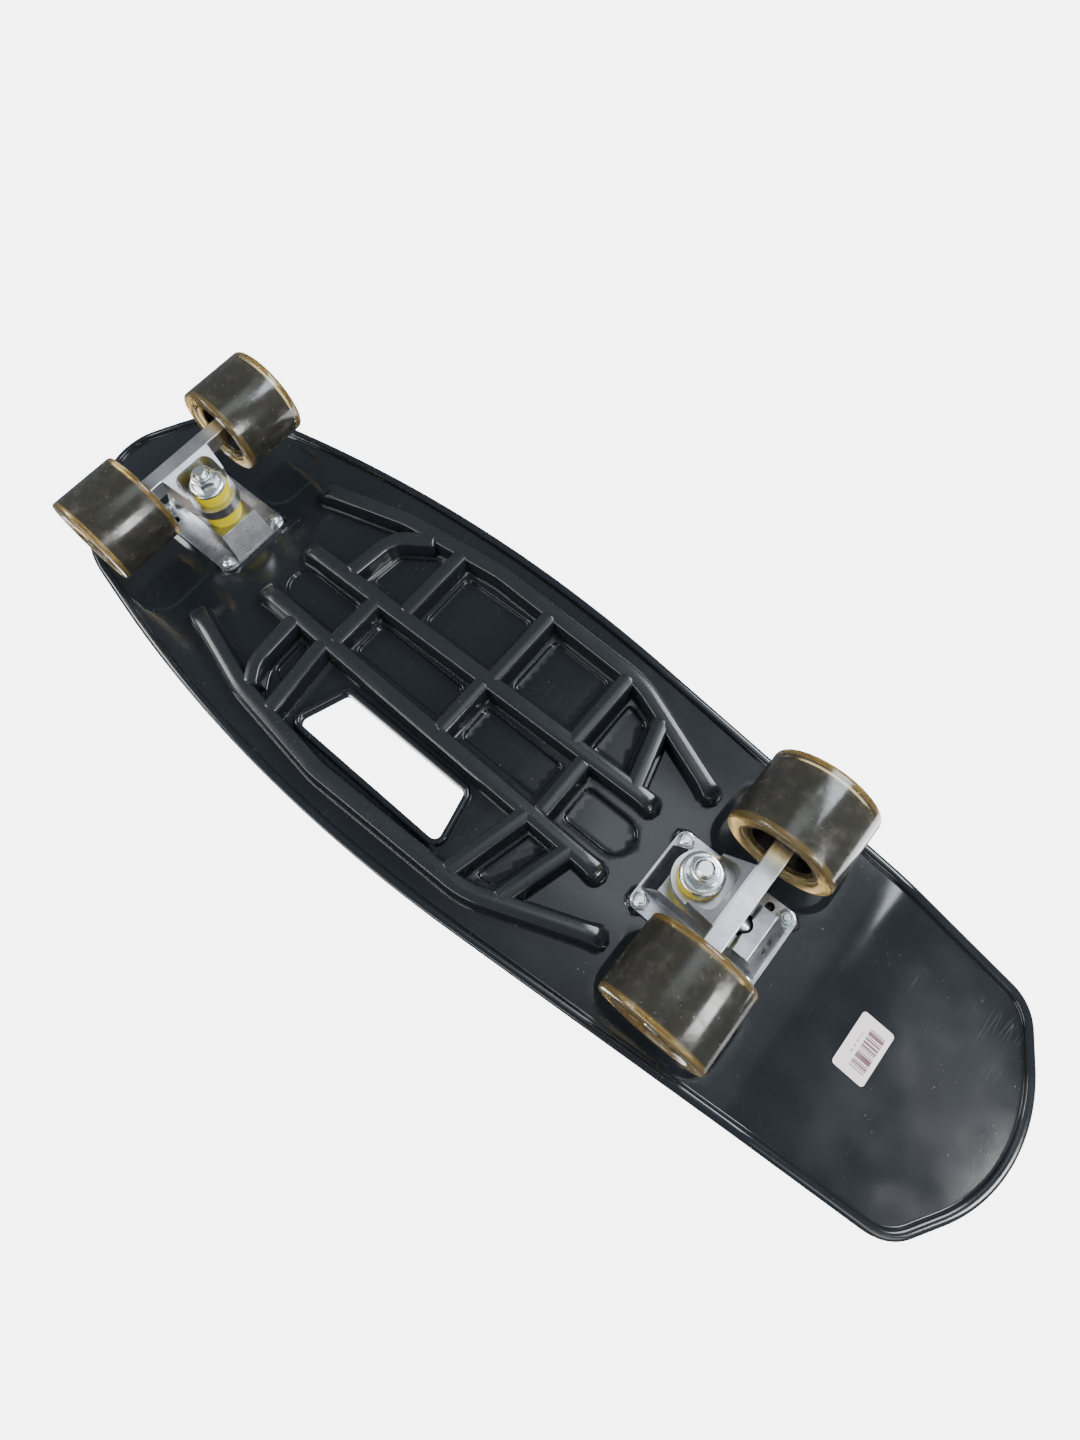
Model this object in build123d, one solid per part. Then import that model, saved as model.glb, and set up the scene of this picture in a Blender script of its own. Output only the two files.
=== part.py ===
"""Moulded plastic cruiser skateboard on two kingpin trucks with four bushed 608-bearing wheels.

Frame: +X to the nose, +Y to the left side, +Z up, wheels down. The origin is on the ground
under the centre of the deck. The carrying slot is on the right side (-Y). Millimetres.
"""
import os
from math import atan2, cos, degrees, hypot, pi, radians, sin, tan

from build123d import *

os.makedirs("parts", exist_ok=True)

# ---------------------------------------------------------------- driving dimensions
# deck plan
deck_length = 686.0
deck_half_width = 103.2
side_vertex_x = 88.8
side_crown = 10.5
side_radius = 975.0
nose_crown = 8.6
nose_radius_plan = 33.0
shoulder_inset = 46.6
shoulder_narrowing = 31.0
shoulder_radius = 85.0
tail_crown = 15.5
tail_radius = 84.0
tail_inset = 29.1
tail_narrowing = 33.0
tail_corner_radius = 26.0
# deck section and side profile
deck_underside = 84.0
deck_thickness = 5.5
kick_start = 222.0
kick_radius = 90.0
kick_angle = 11.0
nose_start = 276.0
nose_rise = 11.4
rim_width = 5.0
rim_drop = 3.0
# ribs and panels
rib_width = 12.0
rib_height = 12.5
rib_crest_radius = 4.5
centre_rib_spacing = 41.0
centre_rib_splay_front = 2.0
centre_rib_splay_rear = 3.0
outer_rib_inset = 22.5
outer_rib_width = 11.0
outer_rib_rounding = 60.0
rib_to_plate_gap = 3.0
cross_rib_rounding = 24.0
panel_recess = 2.0
panel_corner_radius = 16.0
well_length = 68.0
well_width = 46.0
well_corner_radius = 14.0
well_recess = 1.0
# Rib stations along the deck, each measured inboard from the nearer axle line.
centre_rib_front_gap = 85.0
centre_rib_rear_gap = 67.0
# (gap from the axle, inset from the outer rib's line), nose end first and tail end first
outer_rib_fore = [(55.0, 23.0), (114.0, 7.0), (187.0, -1.0)]
outer_rib_aft = [(40.0, 33.0), (115.0, 3.0)]
ladder_fore_gap = 139.0
ladder_mid_gap = 187.0
ladder_aft_gap = 111.0
left_fore_gap = 159.0
left_mid_gap = 184.0
left_aft_gap = 122.5
left_branch_gaps = (79.0, 92.0)
left_curve_gaps = (112.0, 116.0, 143.0)
right_curve_gaps = (108.0, 110.0, 121.0)
curve_corner_inset = 15.5
slot_fore_gaps = (134.0, 140.0)
slot_aft_gaps = (116.0, 130.0)
slot_tail_gaps = (85.0, 99.0)
# carrying slot
slot_rear_x = -25.0
slot_front_x = 90.0
slot_outer_y = -67.5
slot_inner_y = -35.5
slot_slant_front = 12.0
slot_slant_rear = 7.2
slot_corner_radius = 4.0
slot_lip_width = 4.0
slot_lip_drop = 3.0
# running gear layout
wheelbase = 414.0
axle_mid_x = 36.0
wheel_diameter = 59.0
wheel_width = 44.0
wheel_edge_radius = 2.2
# base plate
plate_length = 75.0
plate_width = 52.0
plate_thickness = 3.0
plate_corner_radius = 6.0
plate_offset = 9.05
bolt_spacing_x = 63.5
bolt_spacing_y = 41.3
spare_hole_spacing_x = 53.8
block_drop = 18.0
block_half_width = 14.8
block_face_half_width = 13.6
seat_recess = 2.0
block_edge_radius = 1.5
block_end_margin = 1.5
pivot_boss_half_length = 5.5
pivot_boss_drop = 2.5
# mounting hardware, 4.8 mm machine screws
bolt_diameter = 4.8
bolt_head_diameter = 9.6
bolt_head_height = 2.6
mount_nut_flats = 9.0
mount_nut_height = 4.0
bolt_tip = 1.3
bolt_cross_length = 6.0
bolt_cross_width = 1.1
# kingpin stack
kingpin_offset = 22.6
kingpin_diameter = 9.5
kingpin_head_flats = 14.0
kingpin_head_height = 6.0
kingpin_nut_flats = 14.2
kingpin_nut_height = 9.0
kingpin_tip = 2.8
kingpin_collar = 2.6
washer_diameter = 22.6
washer_thickness = 1.6
washer_rim = 1.5
washer_wall = 1.3
bushing_lower_diameter = 25.0
bushing_lower_height = 13.4
bushing_upper_diameter = 23.6
bushing_upper_height = 11.0
bushing_edge_radius = 1.2
# hanger
bar_width = 10.5
bar_height = 12.0
bar_half_length = 38.5
ring_diameter = 28.4
ring_thickness = 8.0
ring_bore = 12.0
yoke_half_width = 18.0
pivot_offset = 14.0
pivot_drop = 14.0
nose_diameter = 10.0
cup_wall = 1.6
cup_length = 13.0
arm_half_width = 6.2
yoke_rise = 9.0
pocket_corner_radius = 6.0
# axle, bearings and wheel core
axle_diameter = 7.92
axle_half_length = 72.0
bearing_bore = 8.0
bearing_outer = 22.0
bearing_width = 7.0
ball_diameter = 3.97
ball_count = 7
spacer_diameter = 10.6
spacer_length = 10.0
speed_washer_diameter = 12.0
speed_washer_thickness = 1.0
axle_nut_flats = 12.7
axle_nut_height = 6.5
axle_nut_collar = 2.0
race_gap = 3.2
race_step = 0.6
shield_thickness = 0.4
shield_inset = 0.1
cage_gap = 0.6
cage_cover = 0.2
core_bore = 15.6
core_diameter = 42.0
core_width = 37.0
core_recess_diameter = 33.0
tyre_lip_bore = 37.0
# label on the tail
label_length = 19.0
label_width = 31.0
label_thickness = 0.25
label_corner_radius = 2.0
label_x = -258.3
label_y = -5.4
# fits
running_clearance = 0.04
bolt_clearance = 0.2
soft_clearance = 0.3

# ---------------------------------------------------------------- derived levels
half_length = deck_length / 2
axle_height = wheel_diameter / 2
deck_top = deck_underside + deck_thickness
kick_slope = tan(radians(kick_angle))
kick_arc_x = kick_start + kick_radius * sin(radians(kick_angle))
kick_arc_rise = kick_radius * (1 - cos(radians(kick_angle)))
tail_rise = kick_arc_rise + (half_length - kick_arc_x) * kick_slope
rib_crest = deck_underside - rib_height
half_spacing = centre_rib_spacing / 2
rear_axle_x = axle_mid_x - wheelbase / 2
front_axle_x = axle_mid_x + wheelbase / 2
centre_rib_front_x = front_axle_x - centre_rib_front_gap
centre_rib_rear_x = rear_axle_x + centre_rib_rear_gap
inner_bearing_y = bar_half_length + speed_washer_thickness
outer_bearing_y = inner_bearing_y + bearing_width + spacer_length
outer_washer_y = outer_bearing_y + bearing_width
axle_nut_y = outer_washer_y + speed_washer_thickness
wheel_centre_y = (inner_bearing_y + outer_washer_y) / 2
bolt_places = [
    (plate_offset + sx * bolt_spacing_x / 2, sy * bolt_spacing_y / 2) for sx in (-1, 1) for sy in (-1, 1)
]
truck_places = [(rear_axle_x, 1), (front_axle_x, -1)]
STANDING = (Align.CENTER, Align.CENTER, Align.MIN)
HANGING = (Align.CENTER, Align.CENTER, Align.MAX)


def place(solids, node):
    """Write one node, a single solid or a group of like solids."""
    group = solids if isinstance(solids, list) else [solids]
    shape = group[0] if len(group) == 1 else Compound(children=group)
    shape.label = node
    export_step(shape, f"parts/{node}.step")


def hexagon(flats):
    """A hexagon by its width across flats."""
    return RegularPolygon(radius=flats / 2, side_count=6, major_radius=False)


def ring(outer, inner, height):
    """A flat ring standing on z = 0."""
    return extrude(Circle(outer / 2) - Circle(inner / 2), height)


# ---------------------------------------------------------------- deck
def fitted_radii(vertices):
    """The corner radii, made smaller where two neighbours would overrun the side between them."""
    count = len(vertices)
    reach = []
    for i, (x, y, radius) in enumerate(vertices):
        (x0, y0, _), (x1, y1, _) = vertices[i - 1], vertices[(i + 1) % count]
        corner = abs((atan2(y0 - y, x0 - x) - atan2(y1 - y, x1 - x) + pi) % (2 * pi) - pi)
        reach.append(radius / tan(corner / 2))
    share = []
    for i, (x, y, _) in enumerate(vertices):
        x1, y1, _ = vertices[(i + 1) % count]
        share.append(hypot(x1 - x, y1 - y) / (reach[i] + reach[(i + 1) % count]))
    return [v[2] * min(1, 0.98 * share[i - 1], 0.98 * share[i]) for i, v in enumerate(vertices)]


def deck_outline():
    """The plan of the deck: long bowed sides, a rounded point at the nose and a bowed tail."""
    vertices = [
        (half_length + nose_crown, 0, nose_radius_plan),
        (half_length - shoulder_inset, deck_half_width - shoulder_narrowing, shoulder_radius),
        (side_vertex_x, deck_half_width + side_crown, side_radius),
        (-half_length + tail_inset, deck_half_width - tail_narrowing, tail_corner_radius),
        (-half_length - tail_crown, 0, tail_radius),
        (-half_length + tail_inset, tail_narrowing - deck_half_width, tail_corner_radius),
        (side_vertex_x, -deck_half_width - side_crown, side_radius),
        (half_length - shoulder_inset, shoulder_narrowing - deck_half_width, shoulder_radius),
    ]
    corners = [(x, y) for x, y, _ in vertices]
    return make_face(FilletPolyline(*corners, radius=fitted_radii(vertices), close=True))


def deck_prism(inset=0.0):
    """The outline, drawn in by a margin, as a tall prism."""
    plan = offset(deck_outline(), -inset) if inset else deck_outline()
    return extrude(plan, 160)


def side_band(low, high):
    """A band that follows the kicktail and the nose, between two offsets from the underside."""

    def edge(offset):
        base = deck_underside + offset
        tail_z = base + tail_rise
        kick_mid = radians(kick_angle / 2)
        return [
            Line((-half_length, tail_z), (-kick_arc_x, base + kick_arc_rise)),
            ThreePointArc(
                (-kick_arc_x, base + kick_arc_rise),
                (-kick_start - kick_radius * sin(kick_mid), base + kick_radius * (1 - cos(kick_mid))),
                (-kick_start, base),
            ),
            Line((-kick_start, base), (nose_start, base)),
            TangentArc((nose_start, base), (half_length, base + nose_rise), tangent=(1, 0)),
        ]

    bottom, top = edge(low), edge(high)
    nose_cap = Line(bottom[-1] @ 1, top[-1] @ 1)
    tail_cap = Line(bottom[0] @ 0, top[0] @ 0)
    face = make_face(bottom + [nose_cap] + top + [tail_cap])
    return extrude(Plane.XZ * face, 150, both=True)


def rib_path(points, rounding):
    """A rib's centre line with its corners rounded."""
    return FilletPolyline(*points, radius=rounding) if len(points) > 2 else Line(*points)


def rib(points, rounding=30.0, width=rib_width):
    """A rib with round ends and a rounded crest along a centre line on the underside."""
    path = rib_path(points, rounding)
    plan = make_face(Wire(path).offset_2d(width / 2)) if len(points) > 2 else None
    if plan is None:
        (x0, y0), (x1, y1) = points
        length = hypot(x1 - x0, y1 - y0)
        turn = degrees(atan2(y1 - y0, x1 - x0))
        plan = Pos((x0 + x1) / 2, (y0 + y1) / 2) * Rot(0, 0, turn) * SlotCenterToCenter(length, width)
    body = Pos(0, 0, rib_crest) * extrude(plan, rib_height + panel_recess + 0.5)
    crest = body.edges().filter_by(lambda e: abs(e.center().Z - rib_crest) < 0.01)
    return fillet(crest, rib_crest_radius)


def aft_of_front(gap):
    """Place a station inboard of the front axle line."""
    return front_axle_x - gap


def fore_of_rear(gap):
    """Place a station inboard of the rear axle line."""
    return rear_axle_x + gap


def outer_rib_points(side):
    """Centre line of the long outer rib: it follows the edge and turns in at both ends."""
    line_y = deck_half_width - outer_rib_inset
    clear_y = plate_width / 2 + outer_rib_width / 2 + rib_to_plate_gap
    fore = [(aft_of_front(gap), side * max(line_y - inset, clear_y)) for gap, inset in outer_rib_fore]
    aft = [(fore_of_rear(gap), side * max(line_y - inset, clear_y)) for gap, inset in outer_rib_aft]
    return fore + aft[::-1]


def outer_rib_y(x):
    """How far left of the middle the left outer rib runs at x."""
    points = outer_rib_points(1)
    for (x1, y1), (x0, y0) in zip(points, points[1:]):
        if x0 <= x <= x1:
            return y0 + (y1 - y0) * (x - x0) / (x1 - x0)
    return points[-1][1]


def slot_plan(grow=0.0):
    """The carrying slot: a trapezoid with rounded corners, grown by a margin."""
    x0, x1 = slot_rear_x - grow, slot_front_x + grow
    y0, y1 = slot_outer_y - grow, slot_inner_y + grow
    corners = Polygon(
        (x0, y0), (x1, y0), (x1 - slot_slant_front, y1), (x0 + slot_slant_rear, y1), align=None
    )
    return fillet(corners.vertices(), slot_corner_radius + grow)


def straight_rib(x0, y0, x1):
    """A rib from the centre ribs at (x0, y0) out to the outer rib at x1."""
    return rib([(x0, y0), (x1, (1 if y0 > 0 else -1) * outer_rib_y(x1))])


def curved_rib(gaps, side):
    """The rib that closes a bay in front: it runs out and then turns aft into the outer rib."""
    inner_x, corner_x, outer_x = (aft_of_front(gap) for gap in gaps)
    corner_y = outer_rib_y(corner_x) - curve_corner_inset
    points = [(inner_x, side * half_spacing), (corner_x, side * corner_y)]
    return rib(points + [(outer_x, side * outer_rib_y(outer_x))], cross_rib_rounding)


def cross_ribs():
    """The ladder of ribs across the middle, the left bays and both sides of the slot."""
    ladder_x = [aft_of_front(ladder_fore_gap), fore_of_rear(ladder_mid_gap), fore_of_rear(ladder_aft_gap)]
    ladder = [rib([(x, -half_spacing), (x, half_spacing)]) for x in ladder_x]
    left_x = [aft_of_front(left_fore_gap), fore_of_rear(left_mid_gap), fore_of_rear(left_aft_gap)]
    left = [straight_rib(x, half_spacing, x) for x in left_x]
    branch_in, branch_out = (fore_of_rear(gap) for gap in left_branch_gaps)
    left.append(straight_rib(branch_in, half_spacing, branch_out))
    right = [
        straight_rib(aft_of_front(slot_fore_gaps[0]), -half_spacing, aft_of_front(slot_fore_gaps[1])),
        straight_rib(fore_of_rear(slot_aft_gaps[0]), -half_spacing, fore_of_rear(slot_aft_gaps[1])),
        straight_rib(fore_of_rear(slot_tail_gaps[0]), -half_spacing, fore_of_rear(slot_tail_gaps[1])),
    ]
    return ladder + left + right + [curved_rib(left_curve_gaps, 1), curved_rib(right_curve_gaps, -1)]


def panels():
    """The shallow recesses between the ribs, each running under the ribs that frame it."""
    middle = Pos((centre_rib_front_x + centre_rib_rear_x) / 2, 0) * RectangleRounded(
        centre_rib_front_x - centre_rib_rear_x + rib_width, centre_rib_spacing, panel_corner_radius
    )
    curve_in, curve_corner, curve_out = (aft_of_front(gap) for gap in left_curve_gaps)
    branch_in, branch_out = (fore_of_rear(gap) for gap in left_branch_gaps)
    mid_x = fore_of_rear(left_mid_gap)
    left = Polygon(
        (curve_in, half_spacing), (curve_corner, outer_rib_y(curve_corner) - curve_corner_inset),
        (curve_out, outer_rib_y(curve_out)),
        (mid_x, outer_rib_y(mid_x)), (branch_out, outer_rib_y(branch_out)), (branch_in, half_spacing),
        align=None,
    )
    right_in, right_corner, right_out = (aft_of_front(gap) for gap in right_curve_gaps)
    fore_in, fore_out = (aft_of_front(gap) for gap in slot_fore_gaps)
    fore = Polygon(
        (right_in, -half_spacing), (right_corner, curve_corner_inset - outer_rib_y(right_corner)),
        (right_out, -outer_rib_y(right_out)),
        (fore_out, -outer_rib_y(fore_out)), (fore_in, -half_spacing), align=None,
    )
    aft_in, aft_out = (fore_of_rear(gap) for gap in slot_aft_gaps)
    tail_in, tail_out = (fore_of_rear(gap) for gap in slot_tail_gaps)
    aft = Polygon(
        (aft_in, -half_spacing), (aft_out, -outer_rib_y(aft_out)), (tail_out, -outer_rib_y(tail_out)),
        (tail_in, -half_spacing), align=None,
    )
    return [middle, left, fore, aft]


def wheel_wells():
    """Shallow wells over the wheels."""
    well = RectangleRounded(well_length, well_width, well_corner_radius)
    return [Pos(x, s * wheel_centre_y) * well for x in (rear_axle_x, front_axle_x) for s in (-1, 1)]


def build_deck():
    """Plate, rolled rim, ribs, slot with its lip, wells and bolt holes in one moulding."""
    tall = deck_prism()
    inner = deck_prism(rim_width)
    body = side_band(0, deck_thickness) & tall
    rim = (side_band(-rim_drop, deck_thickness) & tall) - inner
    recess = [Pos(0, 0, deck_underside) * extrude(p, panel_recess, dir=(0, 0, 1)) for p in panels()]
    wells = [Pos(0, 0, deck_underside) * extrude(p, well_recess) for p in wheel_wells()]
    body = body - recess - wells
    lip = Pos(0, 0, deck_underside - slot_lip_drop) * extrude(
        slot_plan(slot_lip_width), slot_lip_drop + panel_recess + 0.5
    )
    lip = chamfer(lip.faces().sort_by(Axis.Z)[0].edges(), slot_lip_drop * 0.8)
    long_ribs = []
    for s in (-1, 1):
        tail_end = (centre_rib_rear_x, s * (half_spacing + centre_rib_splay_rear))
        nose_end = (centre_rib_front_x, s * (half_spacing - centre_rib_splay_front))
        long_ribs.append(rib([tail_end, nose_end]))
        long_ribs.append(rib(outer_rib_points(s), outer_rib_rounding, outer_rib_width))
    body = body + rim + lip + long_ribs + cross_ribs()
    body -= Pos(0, 0, rib_crest - 5) * extrude(slot_plan(), 40)
    for x, inboard in truck_places:
        for bx, by in bolt_places:
            at = Pos(x + inboard * bx, by, 0)
            shank = Cylinder(bolt_diameter / 2 + bolt_clearance, 60)
            sink = Cone(
                bolt_diameter / 2 + bolt_clearance, bolt_head_diameter / 2 + bolt_clearance,
                bolt_head_height,
            )
            body -= at * Pos(0, 0, deck_underside) * shank
            body -= at * Pos(0, 0, deck_top - bolt_head_height / 2) * sink
    return body


# ---------------------------------------------------------------- truck, in its own frame
# The truck's frame has its origin on the ground under the axle, with +X towards the middle
# of the deck, so both trucks are one design turned end for end.
plate_bottom = deck_underside - plate_thickness
block_face = plate_bottom - block_drop
seat_level = block_face + seat_recess
lower_washer_face = seat_level - washer_thickness
ring_top = lower_washer_face - bushing_lower_height
ring_bottom = ring_top - ring_thickness
upper_washer_top = ring_bottom - bushing_upper_height
nut_top = upper_washer_top - washer_thickness
nut_bottom = nut_top - kingpin_nut_height
kingpin_end = nut_bottom - kingpin_tip
ring_middle = (ring_top + ring_bottom) / 2
pivot_level = deck_underside - pivot_drop
pivot_run = kingpin_offset + pivot_offset
pivot_tilt = degrees(atan2(pivot_level - ring_middle, pivot_run))
# A frame whose z axis is the steering axis, from the ring up to the pivot cup.
pivot_frame = Pos(-pivot_offset, 0, pivot_level) * Rot(0, -(90 - pivot_tilt), 0)
nose_radius = nose_diameter / 2
cup_outer_radius = nose_radius + running_clearance + cup_wall


def base_plate():
    """Cast plate with a tapered block that seats the kingpin and the pivot cup."""
    plate = Pos(plate_offset, 0, plate_bottom) * extrude(
        RectangleRounded(plate_length, plate_width, plate_corner_radius), plate_thickness
    )
    rear, front = plate_offset - plate_length / 2, plate_offset + plate_length / 2
    boss_face = block_face - pivot_boss_drop
    side = Polygon(
        (rear + block_end_margin, plate_bottom), (-pivot_offset - pivot_boss_half_length, block_face),
        (-pivot_offset - pivot_boss_half_length + 1.5, boss_face),
        (-pivot_offset + pivot_boss_half_length - 0.5, boss_face),
        (-pivot_offset + pivot_boss_half_length + 1, block_face),
        (kingpin_offset + washer_diameter / 2 + 2.2, block_face), (front - block_end_margin, plate_bottom),
        (front - block_end_margin, plate_bottom + 1), (rear + block_end_margin, plate_bottom + 1),
        align=None,
    )
    end = Polygon(
        (-block_half_width, plate_bottom + 1), (-block_face_half_width, block_face - 3),
        (block_face_half_width, block_face - 3), (block_half_width, plate_bottom + 1), align=None,
    )
    block = extrude(Plane.XZ * side, 40, both=True) & extrude(Plane.YZ * end, 80, both=True)
    block = fillet(block.edges().filter_by(Axis.Y).group_by(Axis.Z)[0], block_edge_radius)
    body = plate + block
    body -= Pos(kingpin_offset, 0, block_face - 1) * Cylinder(
        washer_diameter / 2 + soft_clearance, seat_recess + 1, align=STANDING
    )
    body -= Pos(kingpin_offset, 0, block_face) * Cylinder(
        kingpin_diameter / 2 + running_clearance, 60
    )
    head = extrude(hexagon(kingpin_head_flats + 2 * bolt_clearance), kingpin_head_height + 1)
    body -= Pos(kingpin_offset, 0, deck_underside - kingpin_head_height - 0.5) * head
    body -= pivot_frame * Pos(0, 0, cup_length / 2 + 0.5) * Cylinder(
        cup_outer_radius + running_clearance, cup_length + 40,
        align=HANGING,
    )
    for bx, by in bolt_places:
        body -= Pos(bx, by, deck_underside) * Cylinder(bolt_diameter / 2 + bolt_clearance, 20)
    spare_x = plate_offset - bolt_spacing_x / 2 + (bolt_spacing_x - spare_hole_spacing_x)
    for by in (-bolt_spacing_y / 2, bolt_spacing_y / 2):
        body -= Pos(spare_x, by, deck_underside) * Cylinder(bolt_diameter / 2 + bolt_clearance, 20)
    return body


def pivot_cup():
    """Urethane cup with a round bottom, in line with the steering axis."""
    bottom = cup_length / 2 + 0.5
    outer = Pos(0, 0, bottom) * Cylinder(
        cup_outer_radius, cup_length, align=HANGING
    )
    bore = Sphere(nose_radius + running_clearance) + Cylinder(
        nose_radius + running_clearance, cup_length, align=HANGING
    )
    return pivot_frame * (outer - bore)


def kingpin():
    """Hexagon-headed bolt, head up in the base plate."""
    head_top = deck_underside - 0.5
    head = extrude(hexagon(kingpin_head_flats), kingpin_head_height)
    head = Pos(0, 0, head_top - kingpin_head_height) * head
    shank = Pos(0, 0, kingpin_end) * Cylinder(
        kingpin_diameter / 2, head_top - kingpin_end - 1, align=STANDING
    )
    shank = chamfer(shank.edges().group_by(Axis.Z)[0], 0.8)
    return Pos(kingpin_offset, 0, 0) * (head + shank)


def kingpin_nut():
    """Self-locking hexagon nut with a round collar."""
    flats_height = kingpin_nut_height - kingpin_collar
    body = extrude(hexagon(kingpin_nut_flats), flats_height)
    crown = Cylinder(kingpin_nut_flats / 2 - 0.6, kingpin_collar, align=STANDING)
    crown = fillet(crown.edges().group_by(Axis.Z)[-1], 0.9)
    nut = body + Pos(0, 0, flats_height) * crown
    nut -= Cylinder(kingpin_diameter / 2 + running_clearance, 60)
    return Pos(kingpin_offset, 0, nut_top) * Rot(180, 0, 0) * nut


def cup_washer():
    """Pressed washer with a turned-up rim, standing on z = 0 with the rim up."""
    rim_inside = washer_diameter / 2 - washer_wall
    disc = Cylinder(washer_diameter / 2, washer_thickness + washer_rim, align=STANDING)
    disc = fillet(disc.edges().group_by(Axis.Z)[0], 1.0)
    disc -= Pos(0, 0, washer_thickness) * Cylinder(rim_inside, 10, align=STANDING)
    return disc - Cylinder(kingpin_diameter / 2 + running_clearance, 20)


def bushing(diameter, height):
    """Urethane bushing: a barrel whose washer end, at z = 0, is a spigot in the cup washer."""
    spigot = washer_diameter / 2 - washer_wall - soft_clearance
    barrel = Pos(0, 0, washer_rim + soft_clearance) * Cylinder(
        diameter / 2, height - washer_rim - soft_clearance, align=STANDING
    )
    barrel = fillet(barrel.edges(), bushing_edge_radius)
    foot = Cylinder(spigot, washer_rim + 3, align=STANDING)
    bore = Cylinder(kingpin_diameter / 2 + soft_clearance, 60)
    return barrel + foot - bore


def hanger():
    """Cast hanger: square bar, yoke with a pocket, ring, and the pivot nose on its arm."""
    half_bar = bar_width / 2
    bar_top, bar_bottom = axle_height + bar_height / 2, axle_height - bar_height / 2
    bar = Pos(0, 0, axle_height) * Box(bar_width, 2 * bar_half_length, bar_height)
    bar = fillet(bar.edges().filter_by(Axis.Y), 1.0)
    ring_radius = ring_diameter / 2
    side = Polygon(
        (-half_bar, bar_bottom + 1), (half_bar, bar_bottom), (kingpin_offset + ring_radius, ring_bottom),
        (kingpin_offset + ring_radius, ring_top), (kingpin_offset - ring_radius + 2, ring_top),
        (half_bar - 2, bar_top + yoke_rise), (-half_bar, bar_top), align=None,
    )
    plan = make_hull([
        *Polygon((-half_bar, -yoke_half_width), (half_bar, -yoke_half_width),
                 (half_bar, yoke_half_width), (-half_bar, yoke_half_width), align=None).edges(),
        *(Pos(kingpin_offset, 0) * Circle(ring_radius)).edges(),
    ])
    yoke = extrude(Plane.XZ * side, 40, both=True) & extrude(plan, 90)
    pocket_end = kingpin_offset - 2
    pocket = Pos(half_bar + 3, 0, bar_bottom - 5) * extrude(
        RectangleRounded(
            2 * (pocket_end - half_bar), ring_diameter - 0.8, pocket_corner_radius,
            align=(Align.MIN, Align.CENTER),
        ),
        ring_bottom - bar_bottom + 5,
    )
    below_ring = Pos(kingpin_offset - 2, 0, 0) * Box(
        60, 60, ring_bottom, align=(Align.MIN, Align.CENTER, Align.MIN)
    )
    arm = extrude(Plane.XZ * Polygon(
        (-half_bar, bar_top - 1), (-half_bar - 0.8, ring_top + 2), (-2.6, block_face - 4.4),
        (4.2, block_face - 6.6), (kingpin_offset - ring_radius + 4, ring_top - 0.5),
        (kingpin_offset - ring_radius + 4, ring_bottom + 1), (half_bar + 2, ring_bottom + 1),
        (half_bar, bar_top - 1), align=None,
    ), arm_half_width, both=True)
    nose = pivot_frame * (
        Sphere(nose_radius) + Cylinder(nose_radius, 21, align=HANGING)
    )
    body = bar + (yoke - pocket - below_ring) + arm + nose
    body -= Pos(kingpin_offset, 0, 0) * Cylinder(ring_bore / 2, 200)
    body -= Pos(kingpin_offset, 0, ring_top) * Cylinder(
        bushing_lower_diameter / 2 + soft_clearance, 12, align=STANDING
    )
    body -= Pos(0, 0, axle_height) * Rot(90, 0, 0) * Cylinder(axle_diameter / 2 + running_clearance, 200)
    return body


def along_axle(shape, y, side=1):
    """Lay a shape built along +Z on the axle line, from y outwards."""
    return Pos(0, side * y, axle_height) * Rot(-90 * side, 0, 0) * shape


def axle():
    """Steel axle through the hanger bar."""
    rod = Cylinder(axle_diameter / 2, 2 * axle_half_length)
    rod = chamfer(rod.edges().filter_by(GeomType.CIRCLE), 0.7)
    return Pos(0, 0, axle_height) * Rot(90, 0, 0) * rod


def axle_nut():
    """Lock nut, with its flats inwards and its collar outwards."""
    flats_height = axle_nut_height - axle_nut_collar
    nut = extrude(hexagon(axle_nut_flats), flats_height)
    crown = Cylinder(axle_nut_flats / 2 - 0.5, axle_nut_collar, align=STANDING)
    nut += Pos(0, 0, flats_height) * fillet(crown.edges().group_by(Axis.Z)[-1], 0.8)
    return nut - Cylinder(axle_diameter / 2 + running_clearance, 40)


def race(outer, inner, groove_side):
    """A bearing race on z = 0 with the ball groove turned into one side."""
    pitch = (bearing_bore + bearing_outer) / 4
    section = Pos((outer + inner) / 4, bearing_width / 2) * Rectangle((outer - inner) / 2, bearing_width)
    section -= Pos(pitch, bearing_width / 2) * Circle(ball_diameter / 2 + running_clearance)
    if groove_side == "inside":
        step = Rectangle(2 * race_step, 2 * (shield_inset + shield_thickness + running_clearance))
        section -= [Pos(inner / 2, 0) * step, Pos(inner / 2, bearing_width) * step]
    return revolve(Plane.XZ * section, Axis.Z)


pitch_radius = (bearing_bore + bearing_outer) / 4
inner_race_outer = 2 * pitch_radius - race_gap
outer_race_inner = 2 * pitch_radius + race_gap


def outer_race():
    return race(bearing_outer, outer_race_inner, "inside")


def inner_race():
    return race(inner_race_outer, bearing_bore, "outside")


def shields():
    """Two pressed shields, clipped in the outer race's steps, a pair for one bearing."""
    outside = outer_race_inner + 2 * (race_step - running_clearance)
    shield = ring(outside, inner_race_outer + race_step, shield_thickness)
    far = bearing_width - shield_thickness - shield_inset
    return [Pos(0, 0, shield_inset) * shield, Pos(0, 0, far) * shield]


def balls():
    """Seven balls spaced round the pitch circle."""
    return [
        Pos(0, 0, bearing_width / 2) * spot * Sphere(ball_diameter / 2)
        for spot in PolarLocations(pitch_radius, ball_count)
    ]


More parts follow.
